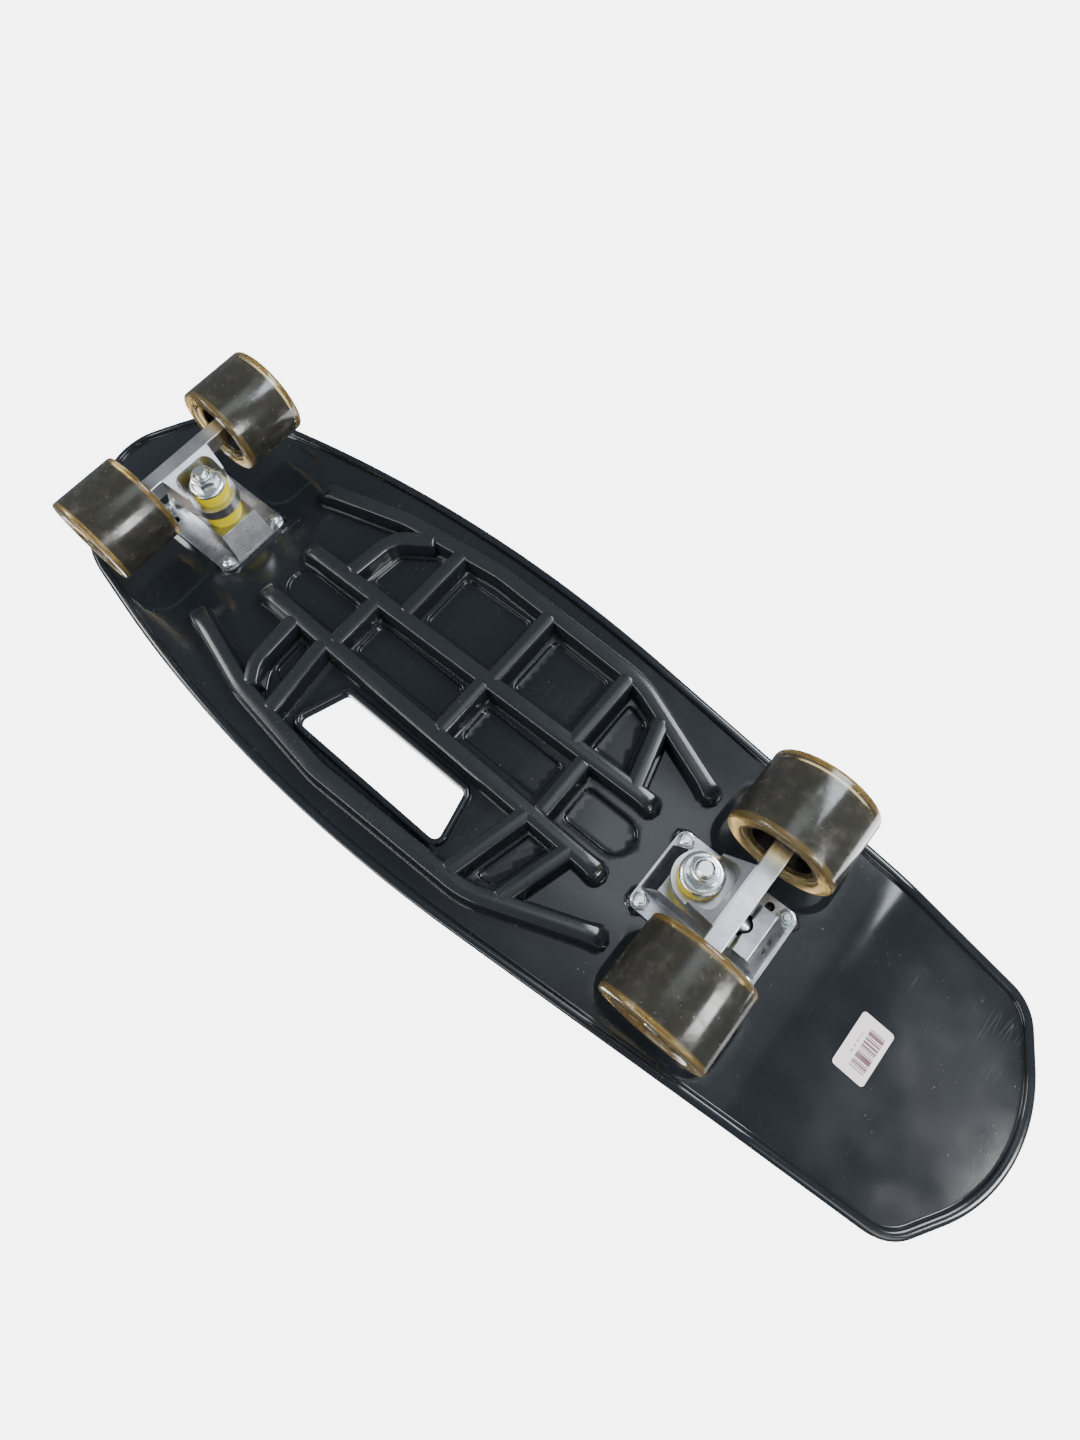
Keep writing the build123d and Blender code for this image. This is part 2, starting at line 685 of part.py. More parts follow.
def cage():
    """Crown cage: a ring with a pocket round each ball."""
    base = shield_inset + shield_thickness + cage_gap
    height = bearing_width / 2 + cage_cover - base
    crown = Pos(0, 0, base) * ring(2 * pitch_radius + 2.0, 2 * pitch_radius - 2.0, height)
    for ball in balls():
        crown -= Pos(*ball.center()) * Sphere(ball_diameter / 2 + running_clearance)
    return crown


def core():
    """Moulded wheel core with a recess, a bearing seat and a bore from each end."""
    half = core_width / 2
    seat_depth = wheel_centre_y - inner_bearing_y - bearing_width
    hub = Cylinder(core_diameter / 2, core_width)
    for s in (-1, 1):
        hub -= Pos(0, 0, s * (seat_depth + bearing_width + half) / 2) * Cylinder(
            core_recess_diameter / 2, half - seat_depth - bearing_width
        )
        hub -= Pos(0, 0, s * (seat_depth + bearing_width / 2)) * Cylinder(
            bearing_outer / 2 + running_clearance, bearing_width
        )
    return hub - Cylinder(core_bore / 2, core_width)


def tyre():
    """Cast urethane tyre that wraps the core's outside and both its ends."""
    body = Cylinder(wheel_diameter / 2, wheel_width)
    body = fillet(body.edges().filter_by(GeomType.CIRCLE), wheel_edge_radius)
    body -= Cylinder(core_diameter / 2 + running_clearance, core_width + 2 * running_clearance)
    return body - Cylinder(tyre_lip_bore / 2, wheel_width + 2)


def machine_screw():
    """Countersunk screw that hangs from the deck's top at z = 0."""
    length = deck_thickness + plate_thickness + mount_nut_height + bolt_tip
    shank = Cylinder(bolt_diameter / 2, length, align=HANGING)
    shank = chamfer(shank.edges().group_by(Axis.Z)[0], 0.5)
    head = Cone(
        bolt_diameter / 2, bolt_head_diameter / 2, bolt_head_height,
        align=HANGING,
    )
    cross = Box(bolt_cross_length, bolt_cross_width, bolt_head_height)
    cross += Box(bolt_cross_width, bolt_cross_length, bolt_head_height)
    return shank + head - cross


def mount_nut():
    """Hexagon nut on z = 0, under the base plate."""
    nut = extrude(hexagon(mount_nut_flats), mount_nut_height)
    return nut - Cylinder(bolt_diameter / 2 + running_clearance, 20)


def write_truck(end, x, inboard):
    """Write the nodes of one truck and its two wheels."""
    stand = Pos(x, 0, 0) * Rot(0, 0, 0 if inboard > 0 else 180)

    def node(name, shapes):
        group = shapes if isinstance(shapes, list) else [shapes]
        place([stand * s for s in group], f"{end}_{name}")

    node("base_plate", base_plate())
    node("pivot_cup", pivot_cup())
    node("kingpin", kingpin())
    node("kingpin_nut", kingpin_nut())
    node("cup_washer_lower", Pos(kingpin_offset, 0, seat_level) * Rot(180, 0, 0) * cup_washer())
    node("cup_washer_upper", Pos(kingpin_offset, 0, nut_top) * cup_washer())
    lower = Rot(180, 0, 0) * bushing(bushing_lower_diameter, bushing_lower_height)
    node("bushing_lower", Pos(kingpin_offset, 0, lower_washer_face) * lower)
    upper = bushing(bushing_upper_diameter, bushing_upper_height)
    node("bushing_upper", Pos(kingpin_offset, 0, upper_washer_top) * upper)
    node("mount_screws", [Pos(bx, by, deck_top) * machine_screw() for bx, by in bolt_places])
    nut_z = plate_bottom - mount_nut_height
    node("mount_nuts", [Pos(bx, by, nut_z) * mount_nut() for bx, by in bolt_places])
    node("hanger", hanger())
    node("axle", axle())
    node("axle_nuts", [along_axle(axle_nut(), axle_nut_y, s) for s in (-1, 1)])
    washer = ring(speed_washer_diameter, axle_diameter + 2 * running_clearance, speed_washer_thickness)
    washer_spots = [(bar_half_length, s) for s in (-1, 1)] + [(outer_washer_y, s) for s in (-1, 1)]
    node("speed_washers", [along_axle(washer, y, s) for y, s in washer_spots])
    bearing_spots = [(y, s) for s in (-1, 1) for y in (inner_bearing_y, outer_bearing_y)]
    node("inner_races", [along_axle(inner_race(), y, s) for y, s in bearing_spots])
    spacer = ring(spacer_diameter, axle_diameter + 2 * running_clearance, spacer_length)
    node("bearing_spacers", [along_axle(spacer, inner_bearing_y + bearing_width, s) for s in (-1, 1)])
    for side, s in (("left", inboard), ("right", -inboard)):
        both = (inner_bearing_y, outer_bearing_y)
        node(f"{side}_tyre", along_axle(tyre(), wheel_centre_y, s))
        node(f"{side}_core", along_axle(core(), wheel_centre_y, s))
        node(f"{side}_outer_races", [along_axle(outer_race(), y, s) for y in both])
        node(f"{side}_shields", [along_axle(p, y, s) for y in both for p in shields()])
        node(f"{side}_balls", [along_axle(b, y, s) for y in both for b in balls()])
        node(f"{side}_cages", [along_axle(cage(), y, s) for y in both])


def tail_label():
    """Small blank self-adhesive label on the underside of the kicktail."""
    plan = RectangleRounded(label_length, label_width, label_corner_radius)
    z = deck_underside + kick_arc_rise + (-label_x - kick_arc_x) * kick_slope
    return Pos(label_x, label_y, z) * Rot(0, kick_angle, 0) * extrude(plan, -label_thickness)


place(build_deck(), "deck")
place(tail_label(), "tail_label")
for end, (x, inboard) in zip(("rear", "front"), truck_places):
    write_truck(end, x, inboard)
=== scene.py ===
"""A cruiser skateboard seen from below: glossy black deck, alloy trucks, smoky urethane wheels."""
from math import acos, atan2, cos, pi, radians, sin, tan

import bmesh
import bpy
import numpy as np
from mathutils import Matrix, Vector
from mathutils.geometry import delaunay_2d_cdt


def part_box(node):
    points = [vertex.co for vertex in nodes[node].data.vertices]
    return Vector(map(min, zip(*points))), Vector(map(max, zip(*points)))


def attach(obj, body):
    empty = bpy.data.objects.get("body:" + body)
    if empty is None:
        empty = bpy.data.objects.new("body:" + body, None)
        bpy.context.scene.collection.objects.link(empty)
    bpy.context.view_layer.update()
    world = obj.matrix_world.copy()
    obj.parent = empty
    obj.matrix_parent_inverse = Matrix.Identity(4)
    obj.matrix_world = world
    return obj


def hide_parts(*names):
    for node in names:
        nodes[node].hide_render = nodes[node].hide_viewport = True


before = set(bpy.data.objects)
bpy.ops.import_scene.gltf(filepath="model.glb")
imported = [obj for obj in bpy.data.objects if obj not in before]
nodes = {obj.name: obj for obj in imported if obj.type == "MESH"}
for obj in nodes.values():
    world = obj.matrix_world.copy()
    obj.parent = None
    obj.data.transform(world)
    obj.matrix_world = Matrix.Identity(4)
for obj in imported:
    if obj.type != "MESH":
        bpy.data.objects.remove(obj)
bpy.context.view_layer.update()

MM = 0.001


# ------------------------ camera, floor and light
# The board stands on a pale floor and is seen from below its tail, as when it is held up to
# show its underside. The floor is opaque from above only, so it never hides the deck, and it
# fades out with distance.
def stand(name, data):
    """A new object in the scene."""
    made = bpy.data.objects.new(name, data)
    bpy.context.collection.objects.link(made)
    return made


camera_data = bpy.data.cameras.new("camera")
camera = stand("camera", camera_data)
bpy.context.scene.camera = camera
camera_right = Vector((-0.75719, 0.65008, 0.06377))
camera_down = Vector((-0.56610, -0.70180, 0.43246))
camera_ahead = Vector((0.32588, 0.29135, 0.89940))
camera.matrix_world = Matrix((
    (camera_right.x, -camera_down.x, -camera_ahead.x, -0.15949),
    (camera_right.y, -camera_down.y, -camera_ahead.y, -0.11003),
    (camera_right.z, -camera_down.z, -camera_ahead.z, -0.42665),
    (0, 0, 0, 1),
))
camera_data.sensor_width = 36
camera_data.lens = 23.124
camera_data.shift_x = 0.0197
camera_data.shift_y = -0.0574
camera_data.clip_start = 0.01


class Wire:
    """An output socket that takes part in Python maths, in a material or a geometry tree."""

    def __init__(self, graph, socket):
        self.graph, self.socket = graph, socket

    def maths(self, operation, first, second=0.0):
        return self.graph.node("ShaderNodeMath", {"operation": operation}, {0: first, 1: second})

    def __add__(self, other):
        return self.maths("ADD", self, other)

    def __sub__(self, other):
        return self.maths("SUBTRACT", self, other)

    def __rsub__(self, other):
        return self.maths("SUBTRACT", other, self)

    def __mul__(self, other):
        return self.maths("MULTIPLY", self, other)

    def __truediv__(self, other):
        return self.maths("DIVIDE", self, other)

    def __rtruediv__(self, other):
        return self.maths("DIVIDE", other, self)

    def __pow__(self, other):
        return self.maths("POWER", self, other)

    def __gt__(self, other):
        return self.maths("GREATER_THAN", self, other)

    def __lt__(self, other):
        return self.maths("LESS_THAN", self, other)

    def __abs__(self):
        return self.maths("ABSOLUTE", self)

    __radd__ = __add__
    __rmul__ = __mul__

    def top(self, other):
        return self.maths("MAXIMUM", self, other)

    def least(self, other):
        return self.maths("MINIMUM", self, other)

    def band(self, low, high):
        """How far the value has come from low to high, from 0 to 1, with soft ends."""
        return self.graph.node(
            "ShaderNodeMapRange", {"interpolation_type": "SMOOTHSTEP"},
            {"Value": self, "From Min": low, "From Max": high},
        )

    def output(self, name):
        """Another output of the same node."""
        return Wire(self.graph, self.socket.node.outputs[name])


class Graph:
    """A node tree that is filled one node at a time."""

    def __init__(self, tree):
        self.tree = tree

    def node(self, kind, settings=None, sockets=None, out=0):
        """Add a node: its settings come first, then a value or a wire for each socket."""
        made = self.tree.nodes.new(kind)
        for name, value in (settings or {}).items():
            setattr(made, name, value)
        for key, value in (sockets or {}).items():
            if isinstance(value, Wire):
                self.tree.links.new(value.socket, made.inputs[key])
            else:
                made.inputs[key].default_value = value
        return Wire(self, made.outputs[out])


class Finish(Graph):
    """A material on the Principled shader. Constants sit on the shader's own sockets."""

    def __init__(self, name, colour, **constants):
        self.material = bpy.data.materials.new(name)
        self.material.use_nodes = True
        super().__init__(self.material.node_tree)
        self.shader = self.tree.nodes["Principled BSDF"]
        self.shader.inputs["Base Color"].default_value = (*colour, 1)
        for key, value in constants.items():
            label = key.replace("_", " ").title().replace("Ior", "IOR")
            self.shader.inputs[label].default_value = value
        self.place = self.node("ShaderNodeTexCoord", out="Object")

    def feed(self, **wires):
        """Let a wire drive the shader's base colour, roughness, normal and the like."""
        for key, wire in wires.items():
            self.tree.links.new(wire.socket, self.shader.inputs[key.replace("_", " ").title()])

    def axes(self):
        """The three parts of the place on the object, in millimetres."""
        parts = self.node("ShaderNodeSeparateXYZ", sockets={0: self.place})
        return [parts.output(axis) * 1000 for axis in "XYZ"]

    def stretched(self, scale, turn=(0, 0, 0)):
        """The place on the object, turned and stretched for a grain that has a direction."""
        return self.node("ShaderNodeMapping", sockets={
            "Vector": self.place, "Scale": scale, "Rotation": turn,
        })

    def noise(self, per_metre, detail=3.0, roughness=0.5, place=None):
        """Cloudy noise from 0 to 1, so many clouds to the metre."""
        return self.node("ShaderNodeTexNoise", sockets={
            "Vector": place or self.place, "Scale": per_metre, "Detail": detail,
            "Roughness": roughness,
        })

    def mix(self, factor, low, high):
        """A colour between two, each a colour or a wire."""
        made = self.node("ShaderNodeMix", {"data_type": "RGBA"}, {0: factor}, out=2)
        for index, colour in ((6, low), (7, high)):
            if isinstance(colour, Wire):
                self.tree.links.new(colour.socket, made.socket.node.inputs[index])
            else:
                made.socket.node.inputs[index].default_value = (*colour, 1)
        return made

    def bump(self, height, depth, under=None):
        """A normal for a relief whose full height is depth in metres."""
        sockets = {"Height": height, "Distance": depth, "Strength": 1.0}
        if under:
            sockets["Normal"] = under
        return self.node("ShaderNodeBump", sockets=sockets)

    def grainy(self, smoothest, change, per_metre, relief, detail, depth):
        """An even surface whose roughness and fine relief vary a little."""
        self.feed(
            roughness=smoothest + self.noise(per_metre, 3) * change,
            normal=self.bump(self.noise(relief, detail), depth),
        )


def scratches(finish, per_metre, turn):
    """Fine straight scratches: thin level lines of a long stretched noise, 1 on the line."""
    line_width = 0.004
    grain = finish.stretched((1.0, 0.03, 1.0), (0, 0, radians(turn)))
    streaks = finish.noise(per_metre, 0.0, 0.4, grain)
    return 1 - abs(streaks - 0.5).band(0.0, line_width)


def mesh_object(name, points, faces, finish, second=None, second_from=None):
    """A mesh object at the origin. Faces from second_from on take a second material."""
    mesh = bpy.data.meshes.new(name)
    mesh.from_pydata([tuple(p) for p in points], [], [tuple(f) for f in faces])
    mesh.materials.append(finish.material)
    if second:
        mesh.materials.append(second.material)
        for polygon in mesh.polygons[second_from:]:
            polygon.material_index = 1
    mesh.polygons.foreach_set("use_smooth", [True] * len(mesh.polygons))
    return stand(name, mesh)


floor_finish = Finish("floor_pale", (0.86, 0.86, 0.85), roughness=0.7)
floor_grain = floor_finish.noise(60, 4)
floor_finish.feed(base_color=floor_finish.mix(floor_grain, (0.84, 0.84, 0.83), (0.88, 0.88, 0.87)))
clear = floor_finish.node("ShaderNodeBsdfTransparent")
behind = floor_finish.node("ShaderNodeNewGeometry", out="Backfacing")
floor_x, floor_y, _ = floor_finish.axes()
away = (floor_x * floor_x + floor_y * floor_y) ** 0.5
fade_start, fade_end = 700, 2800
faded = behind.top(away.band(fade_start, fade_end))
two_sided = floor_finish.node("ShaderNodeMixShader", sockets={0: faded, 2: clear})
floor_finish.tree.links.new(floor_finish.shader.outputs[0], two_sided.socket.node.inputs[1])
floor_surface = floor_finish.tree.nodes["Material Output"].inputs[0]
floor_finish.tree.links.new(two_sided.socket, floor_surface)
reach = 4.0
floor = mesh_object(
    "floor", [(-reach, -reach, 0), (reach, -reach, 0), (reach, reach, 0), (-reach, reach, 0)],
    [(0, 1, 2, 3)], floor_finish,
)
floor.visible_shadow = False
floor.visible_glossy = False
floor.visible_transmission = False

world = bpy.data.worlds.new("studio")
bpy.context.scene.world = world
world.use_nodes = True
sky = Graph(world.node_tree)
rays = sky.node("ShaderNodeLightPath")
seen = rays.output("Is Camera Ray").top(rays.output("Is Transmission Ray"))
room = sky.node("ShaderNodeBackground", sockets={"Color": (0.62, 0.70, 0.82, 1), "Strength": 0.32})
backdrop = sky.node("ShaderNodeBackground", sockets={"Color": (1, 1, 1, 1), "Strength": 6.0})
both = sky.node("ShaderNodeMixShader", sockets={0: seen, 1: room, 2: backdrop})
world.node_tree.links.new(both.socket, world.node_tree.nodes["World Output"].inputs[0])


def softbox(name, place, target, size, power, colour=(1, 1, 1)):
    """A rectangular studio light at a place, turned to a target."""
    light = bpy.data.lights.new(name, "AREA")
    light.shape = "RECTANGLE"
    light.size, light.size_y = size
    light.energy, light.color = power, colour
    holder = stand(name, light)
    holder.location = place
    holder.rotation_euler = (Vector(target) - Vector(place)).to_track_quat("-Z", "Y").to_euler()


softbox("window_below", (-0.35, 0.85, -1.1), (0, 0, 0.08), (0.9, 0.5), 26, (0.86, 0.93, 1.0))
softbox("lamp_below_tail", (-1.3, -0.5, -0.7), (-0.2, 0, 0.08), (0.5, 0.9), 5)
softbox("strip_behind_tail", (-1.45, 0.14, -0.70), (-0.17, -0.05, 0.04), (0.30, 0.60), 16)
softbox("strip_beside", (0.45, -1.35, -0.36), (0, 0, 0.08), (1.5, 0.28), 15)
softbox("lamp_below_nose", (1.1, -0.5, -0.9), (0.1, 0, 0.08), (0.5, 0.5), 12)
for step, glow in enumerate((0.30, 0.34, 0.44)):
    softbox("ceiling_below_" + str(step), (-0.072, 0.22, -0.938 - step * 0.01),
            (-0.072, 0.22, 0.084), (0.30 + step * 0.14, 0.26 + step * 0.13), glow,
            (0.88, 0.94, 1.0))
softbox("key_above", (0.9, -1.2, 1.7), (0, 0, 0.06), (1.2, 1.2), 48)
softbox("fill_above", (-1.4, 0.8, 1.3), (0, 0, 0.06), (1.2, 1.0), 26)
softbox("back_above", (-0.2, 1.8, 1.0), (0, 0, 0.06), (1.6, 0.6), 18)


# ------------------------ deck
# One injection moulding in glossy black plastic: a thin plate with a kicktail, a raised nose,
# a rolled rim, shallow trays between half-round ribs, and a lipped slot to carry it by.
half_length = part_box("deck")[1][0] / MM
half_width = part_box("deck")[1][1] / MM
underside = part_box("rear_base_plate")[1][2] / MM
deck_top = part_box("rear_mount_screws")[1][2] / MM
rib_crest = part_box("deck")[0][2] / MM


def middle(node, axis):
    """The middle of a node's box along an axis, in millimetres."""
    low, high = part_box(node)
    return (low[axis] + high[axis]) / 2 / MM


rear_axle_x, front_axle_x = middle("rear_axle", 0), middle("front_axle", 0)
axles = (("rear", rear_axle_x), ("front", front_axle_x))
wheel_y = middle("rear_left_tyre", 1)
kick_start, kick_radius, kick_angle = 222.0, 90.0, radians(11)
nose_start, nose_rise = 276.0, 11.4
rim_width, rim_drop = 5.4, 3.0
tray_depth, tray_edge = 2.0, 0.9
lip_width, lip_drop = 4.1, 3.0
well_depth, well_edge = 1.0, 2.6
edge_radius = 1.5


def even_steps(points, spacing, closed=True):
    """The same path with its points an even distance apart."""
    path = np.array(points, dtype=float)
    if closed:
        path = np.vstack([path, path[:1]])
    along = np.concatenate([[0], np.cumsum(np.hypot(*np.diff(path, axis=0).T))])
    count = max(3, round(along[-1] / spacing))
    stops = np.linspace(0, along[-1], count + 1)[: count if closed else None]
    return np.column_stack([np.interp(stops, along, path[:, i]) for i in (0, 1)])


def rounded(corners, spacing, closed=True):
    """A path through corners (x, y, radius), each turned as an arc of that radius."""
    path, count = [], len(corners)
    for index, (x, y, radius) in enumerate(corners):
        here = np.array((x, y))
        if not closed and index in (0, count - 1):
            path.append(here)
            continue
        back = np.array(corners[index - 1][:2]) - here
        ahead = np.array(corners[(index + 1) % count][:2]) - here
        back, ahead = back / np.hypot(*back), ahead / np.hypot(*ahead)
        half = acos(np.clip(back @ ahead, -1, 1)) / 2
        inward = (back + ahead) / np.hypot(*(back + ahead))
        centre = here + inward * radius / sin(half)
        start, end = here + back * radius / tan(half), here + ahead * radius / tan(half)
        first = atan2(*(start - centre)[::-1])
        sweep = (atan2(*(end - centre)[::-1]) - first + pi) % (2 * pi) - pi
        for part in np.linspace(0, 1, max(3, int(abs(sweep) * radius))):
            angle = first + sweep * part
            path.append(centre + radius * np.array((cos(angle), sin(angle))))
    return even_steps(path, spacing, closed)


def grown(loop, distance):
    """A closed loop moved outwards by a distance, for a loop that runs anticlockwise."""
    run = np.roll(loop, -1, axis=0) - np.roll(loop, 1, axis=0)
    run /= np.hypot(*run.T)[:, None]
    return loop + distance * np.column_stack([run[:, 1], -run[:, 0]])


def anticlockwise(loop):
    """The same loop, run the way that puts its inside on the left."""
    x, y = loop.T
    return loop if np.sum(x * np.roll(y, -1) - y * np.roll(x, -1)) > 0 else loop[::-1]


def outside_by(points, loop):
    """Signed distance of points from a closed loop, positive outside."""
    nearest = np.full(len(points), 1e9)
    crossings = np.zeros(len(points), dtype=int)
    px, py = points.T
    for (x0, y0), (x1, y1) in zip(loop, np.roll(loop, -1, axis=0)):
        dx, dy = x1 - x0, y1 - y0
        part = np.clip(((px - x0) * dx + (py - y0) * dy) / (dx * dx + dy * dy), 0, 1)
        nearest = np.minimum(nearest, np.hypot(px - x0 - part * dx, py - y0 - part * dy))
        if y0 != y1:
            crossings += ((y0 > py) != (y1 > py)) & (px < dx * (py - y0) / dy + x0)
    return np.where(crossings % 2 == 1, -nearest, nearest)


def eased(value):
    """A step from 0 to 1 with soft ends."""
    value = np.clip(value, 0, 1)
    return value * value * (3 - 2 * value)


def dome(offset, half, fullness):
    """A rounded hump from 0 to 1 over a half width."""
    return (1 - np.minimum(1, np.abs(offset) / half) ** fullness) ** (1 / fullness)


nose_tip, tail_tip = (half_length + 8.6, 0, 33), (-half_length - 15.5, 0, 84)
nose_shoulder = (half_length - 46.6, half_width - 31, 85)
flank = (88.8, half_width + 10.5, 975)
tail_shoulder = (29.1 - half_length, half_width - 33, 26)
outline = anticlockwise(rounded([
    nose_tip, nose_shoulder, flank, tail_shoulder, tail_tip,
    *[(x, -y, radius) for x, y, radius in (tail_shoulder, flank, nose_shoulder)],
], spacing=2.2))
slot_outer_y, slot_inner_y, slot_corner = -67.5, -35.5, 4
slot_loop = anticlockwise(rounded([
    (-25, slot_outer_y, slot_corner), (90, slot_outer_y, slot_corner),
    (78, slot_inner_y, slot_corner), (-17.8, slot_inner_y, slot_corner),
], spacing=1.6))

# The centre ribs run at spine_y from the middle, the outer ribs near outer_line.
spine_y = 21.2
outer_line = half_width - 22.5


def outer_rib(side):
    """The long rib that follows the edge and turns in at both ends."""
    return [
        (front_axle_x - 49, side * (outer_line - 25), 0),
        (front_axle_x - 114, side * (outer_line - 7), 60),
        (front_axle_x - 187, side * (outer_line + 1), 60),
        (rear_axle_x + 115, side * (outer_line - 3), 60),
        (rear_axle_x + 40, side * (outer_line - 33), 0),
    ]


def outer_y(x):
    """How far from the middle the outer rib lies at x."""
    run = sorted(outer_rib(1))
    return float(np.interp(x, [p[0] for p in run], [p[1] for p in run]))


def bay_rib(x0, side, x1):
    """A straight rib from a centre rib out to the outer rib."""
    return [(x0, side * spine_y, 0), (x1, side * outer_y(x1), 0)]


long_lines = [outer_rib(1), outer_rib(-1)]
for side in (-1, 1):
    long_lines.append([
        (rear_axle_x + 61, side * (spine_y + 3), 0), (front_axle_x - 72, side * (spine_y - 2), 0),
    ])
front_rung, middle_rung, rear_rung = front_axle_x - 139, 16, rear_axle_x + 111
cross_lines = [[(x, -spine_y, 0), (x, spine_y, 0)] for x in (front_rung, middle_rung, rear_rung)]
front_bay, middle_bay, rear_bay = 84, 13, -48.5
cross_lines += [bay_rib(x, 1, x) for x in (front_bay, middle_bay, rear_bay)]
cross_lines += [bay_rib(-92, 1, -79)]
cross_lines += [bay_rib(109, -1, 103), bay_rib(-55, -1, -41), bay_rib(-86, -1, -72)]
# Two ribs turn a corner on their way out and stop just inside the outer rib.
cross_lines.append([(131, spine_y, 0), (127, 58, 24), (103, outer_y(100) - 3, 0)])
cross_lines.append([(135, -spine_y, 0), (133, -58, 24), (123, 3 - outer_y(122), 0)])


tray_margin, tray_corner = 9.6, 2.5


def shrunk(corners, margin=tray_margin, radius=tray_corner):
    """A straight-sided bay drawn in by a margin from the ribs round it, with turned corners."""
    corners = anticlockwise(np.array(corners, dtype=float))
    lines = []
    for here, ahead in zip(corners, np.roll(corners, -1, axis=0)):
        run = (ahead - here) / np.hypot(*(ahead - here))
        inward = np.array((-run[1], run[0]))
        lines.append((here + inward * margin, run))
    points = []
    for (p, u), (q, v) in zip([lines[-1]] + lines[:-1], lines):
        part = np.linalg.solve(np.column_stack([u, -v]), q - p)[0]
        points.append((*(p + u * part), radius))
    return points


round_half = spine_y - tray_margin
rear_tray, round_ends = -60, (-109, 164)
trays = []
for x0, x1 in ((rear_tray, middle_rung), (middle_rung, front_rung)):
    trays.append(shrunk([(x0, -spine_y), (x1, -spine_y), (x1, spine_y), (x0, spine_y)]))
for end_x, rib_x in zip(round_ends, (rear_tray - tray_margin, front_rung + tray_margin)):
    trays.append([(end_x, -round_half, round_half - 0.3), (end_x, round_half, round_half - 0.3),
                  (rib_x, round_half, tray_corner), (rib_x, -round_half, tray_corner)])
for x0, x1 in ((rear_bay, middle_bay), (middle_bay, front_bay)):
    trays.append(shrunk([(x0, spine_y), (x1, spine_y), (x1, outer_y(x1)), (x0, outer_y(x0))]))
for bay in (
    [(131, spine_y), (127, 58), (100, outer_y(100)), (front_bay, outer_y(front_bay)),
     (front_bay, spine_y)],
    [(rear_bay, spine_y), (rear_bay, outer_y(rear_bay)), (-79, outer_y(-79)), (-92, spine_y)],
    [(135, -spine_y), (133, -58), (103, -outer_y(103) + 6), (109, -spine_y)],
    [(-55, -spine_y), (-41, -outer_y(-41)), (-72, -outer_y(-72)), (-86, -spine_y)],
):
    trays.append(shrunk(bay, tray_margin - 0.8, tray_corner - 1.0))
tray_loops = [anticlockwise(rounded(tray, spacing=2.5)) for tray in trays]
well_long, well_wide, well_corner = 34, 23, 14
well_loops = [
    anticlockwise(rounded([
        (x + sx * well_long, y + sy * well_wide, well_corner)
        for sx, sy in ((-1, -1), (1, -1), (1, 1), (-1, 1))
    ], spacing=4))
    for x in (rear_axle_x, front_axle_x) for y in (-wheel_y, wheel_y)
]
hollows = [(tray, tray_edge) for tray in tray_loops] + [(well, well_edge) for well in well_loops]
bolt_middle, bolt_half_long, bolt_half_wide = 9.05, 31.75, 20.65
bolt_spots = [
    (axle + inboard * (bolt_middle + sx * bolt_half_long), sy * bolt_half_wide)
    for axle, inboard in ((rear_axle_x, 1), (front_axle_x, -1)) for sx in (-1, 1) for sy in (-1, 1)
]


def circle(x, y, radius):
    """A bolt hole's edge in the plan."""
    turn = np.linspace(0, 2 * pi, 20, endpoint=False)
    return np.column_stack([x + radius * np.cos(turn), y + radius * np.sin(turn)])


def let_in(points, loops, edge):
    """How far into the nearest hollow points lie, from 0 outside to 1 inside."""
    return np.max([eased(0.5 - outside_by(points, loop) / (2 * edge)) for loop in loops], axis=0)


def side_rise(x):
    """How far the plate has risen above its flat middle at x, at the kick and at the nose."""
    back = np.clip(-x - kick_start, 0, None)
    arc = kick_radius * sin(kick_angle)
    kick = kick_radius - np.sqrt(kick_radius**2 - np.minimum(back, arc) ** 2)
    kick += np.clip(back - arc, 0, None) * tan(kick_angle)
    fore = np.clip(x - nose_start, 0, None)
    nose_run = half_length - nose_start
    nose_radius = (nose_run**2 + nose_rise**2) / (2 * nose_rise)
    return kick + nose_radius - np.sqrt(nose_radius**2 - fore**2)


def underside_height(points):
    """The height of the underside: rim and lip hang down, trays and wells are let in."""
    level = underside + side_rise(points[:, 0])
    inset = -outside_by(points, outline)
    level = level - rim_drop * dome(inset - rim_width / 2 + 0.1, rim_width / 2 + 0.1, 2.6)
    from_slot = outside_by(points, slot_loop)
    level -= lip_drop * dome(from_slot - lip_width / 2, lip_width / 2 + 0.2, 2.4)
    tray = let_in(points, tray_loops, tray_edge)
    well = let_in(points, well_loops, well_edge)
    near_lip = eased(from_slot - lip_width)
    return level + tray_depth * tray * near_lip + well_depth * well


def topside_height(points):
    """The height of the top: flat, with its edges eased at the rim and the slot."""
    level = deck_top + side_rise(points[:, 0])
    for loop in (-outside_by(points, outline), outside_by(points, slot_loop)):
        short = np.clip(edge_radius - loop, 0, edge_radius)
        level -= edge_radius - np.sqrt(edge_radius**2 - short**2)
    return level


def triangulated(loops, extra):
    """Triangles over the plan between the outline, the slot and the bolt holes."""
    points, edges = [], []
    for loop in loops:
        start = len(points)
        points += [tuple(p) for p in loop]
        edges += [(start + i, start + (i + 1) % len(loop)) for i in range(len(loop))]
    points += [tuple(p) for p in extra]
    flat, _, faces, *_ = delaunay_2d_cdt([Vector(p) for p in points], edges, [], 0, 1e-7)
    flat = np.array([tuple(p) for p in flat])
    faces = np.array([tuple(f) for f in faces])
    centre = flat[faces].mean(axis=1)
    inside = outside_by(centre, loops[0]) < 0
    for hole in loops[1:]:
        inside &= outside_by(centre, hole) > 0
    return flat, faces[inside]


def grid(spacing):
    """A field of points in staggered rows over the plan of the deck."""
    rows = np.arange(-half_width, half_width, spacing * 0.866)
    columns = np.arange(-half_length, half_length, spacing)
    return np.array([(x + (i % 2) * spacing / 2, y) for i, y in enumerate(rows) for x in columns])


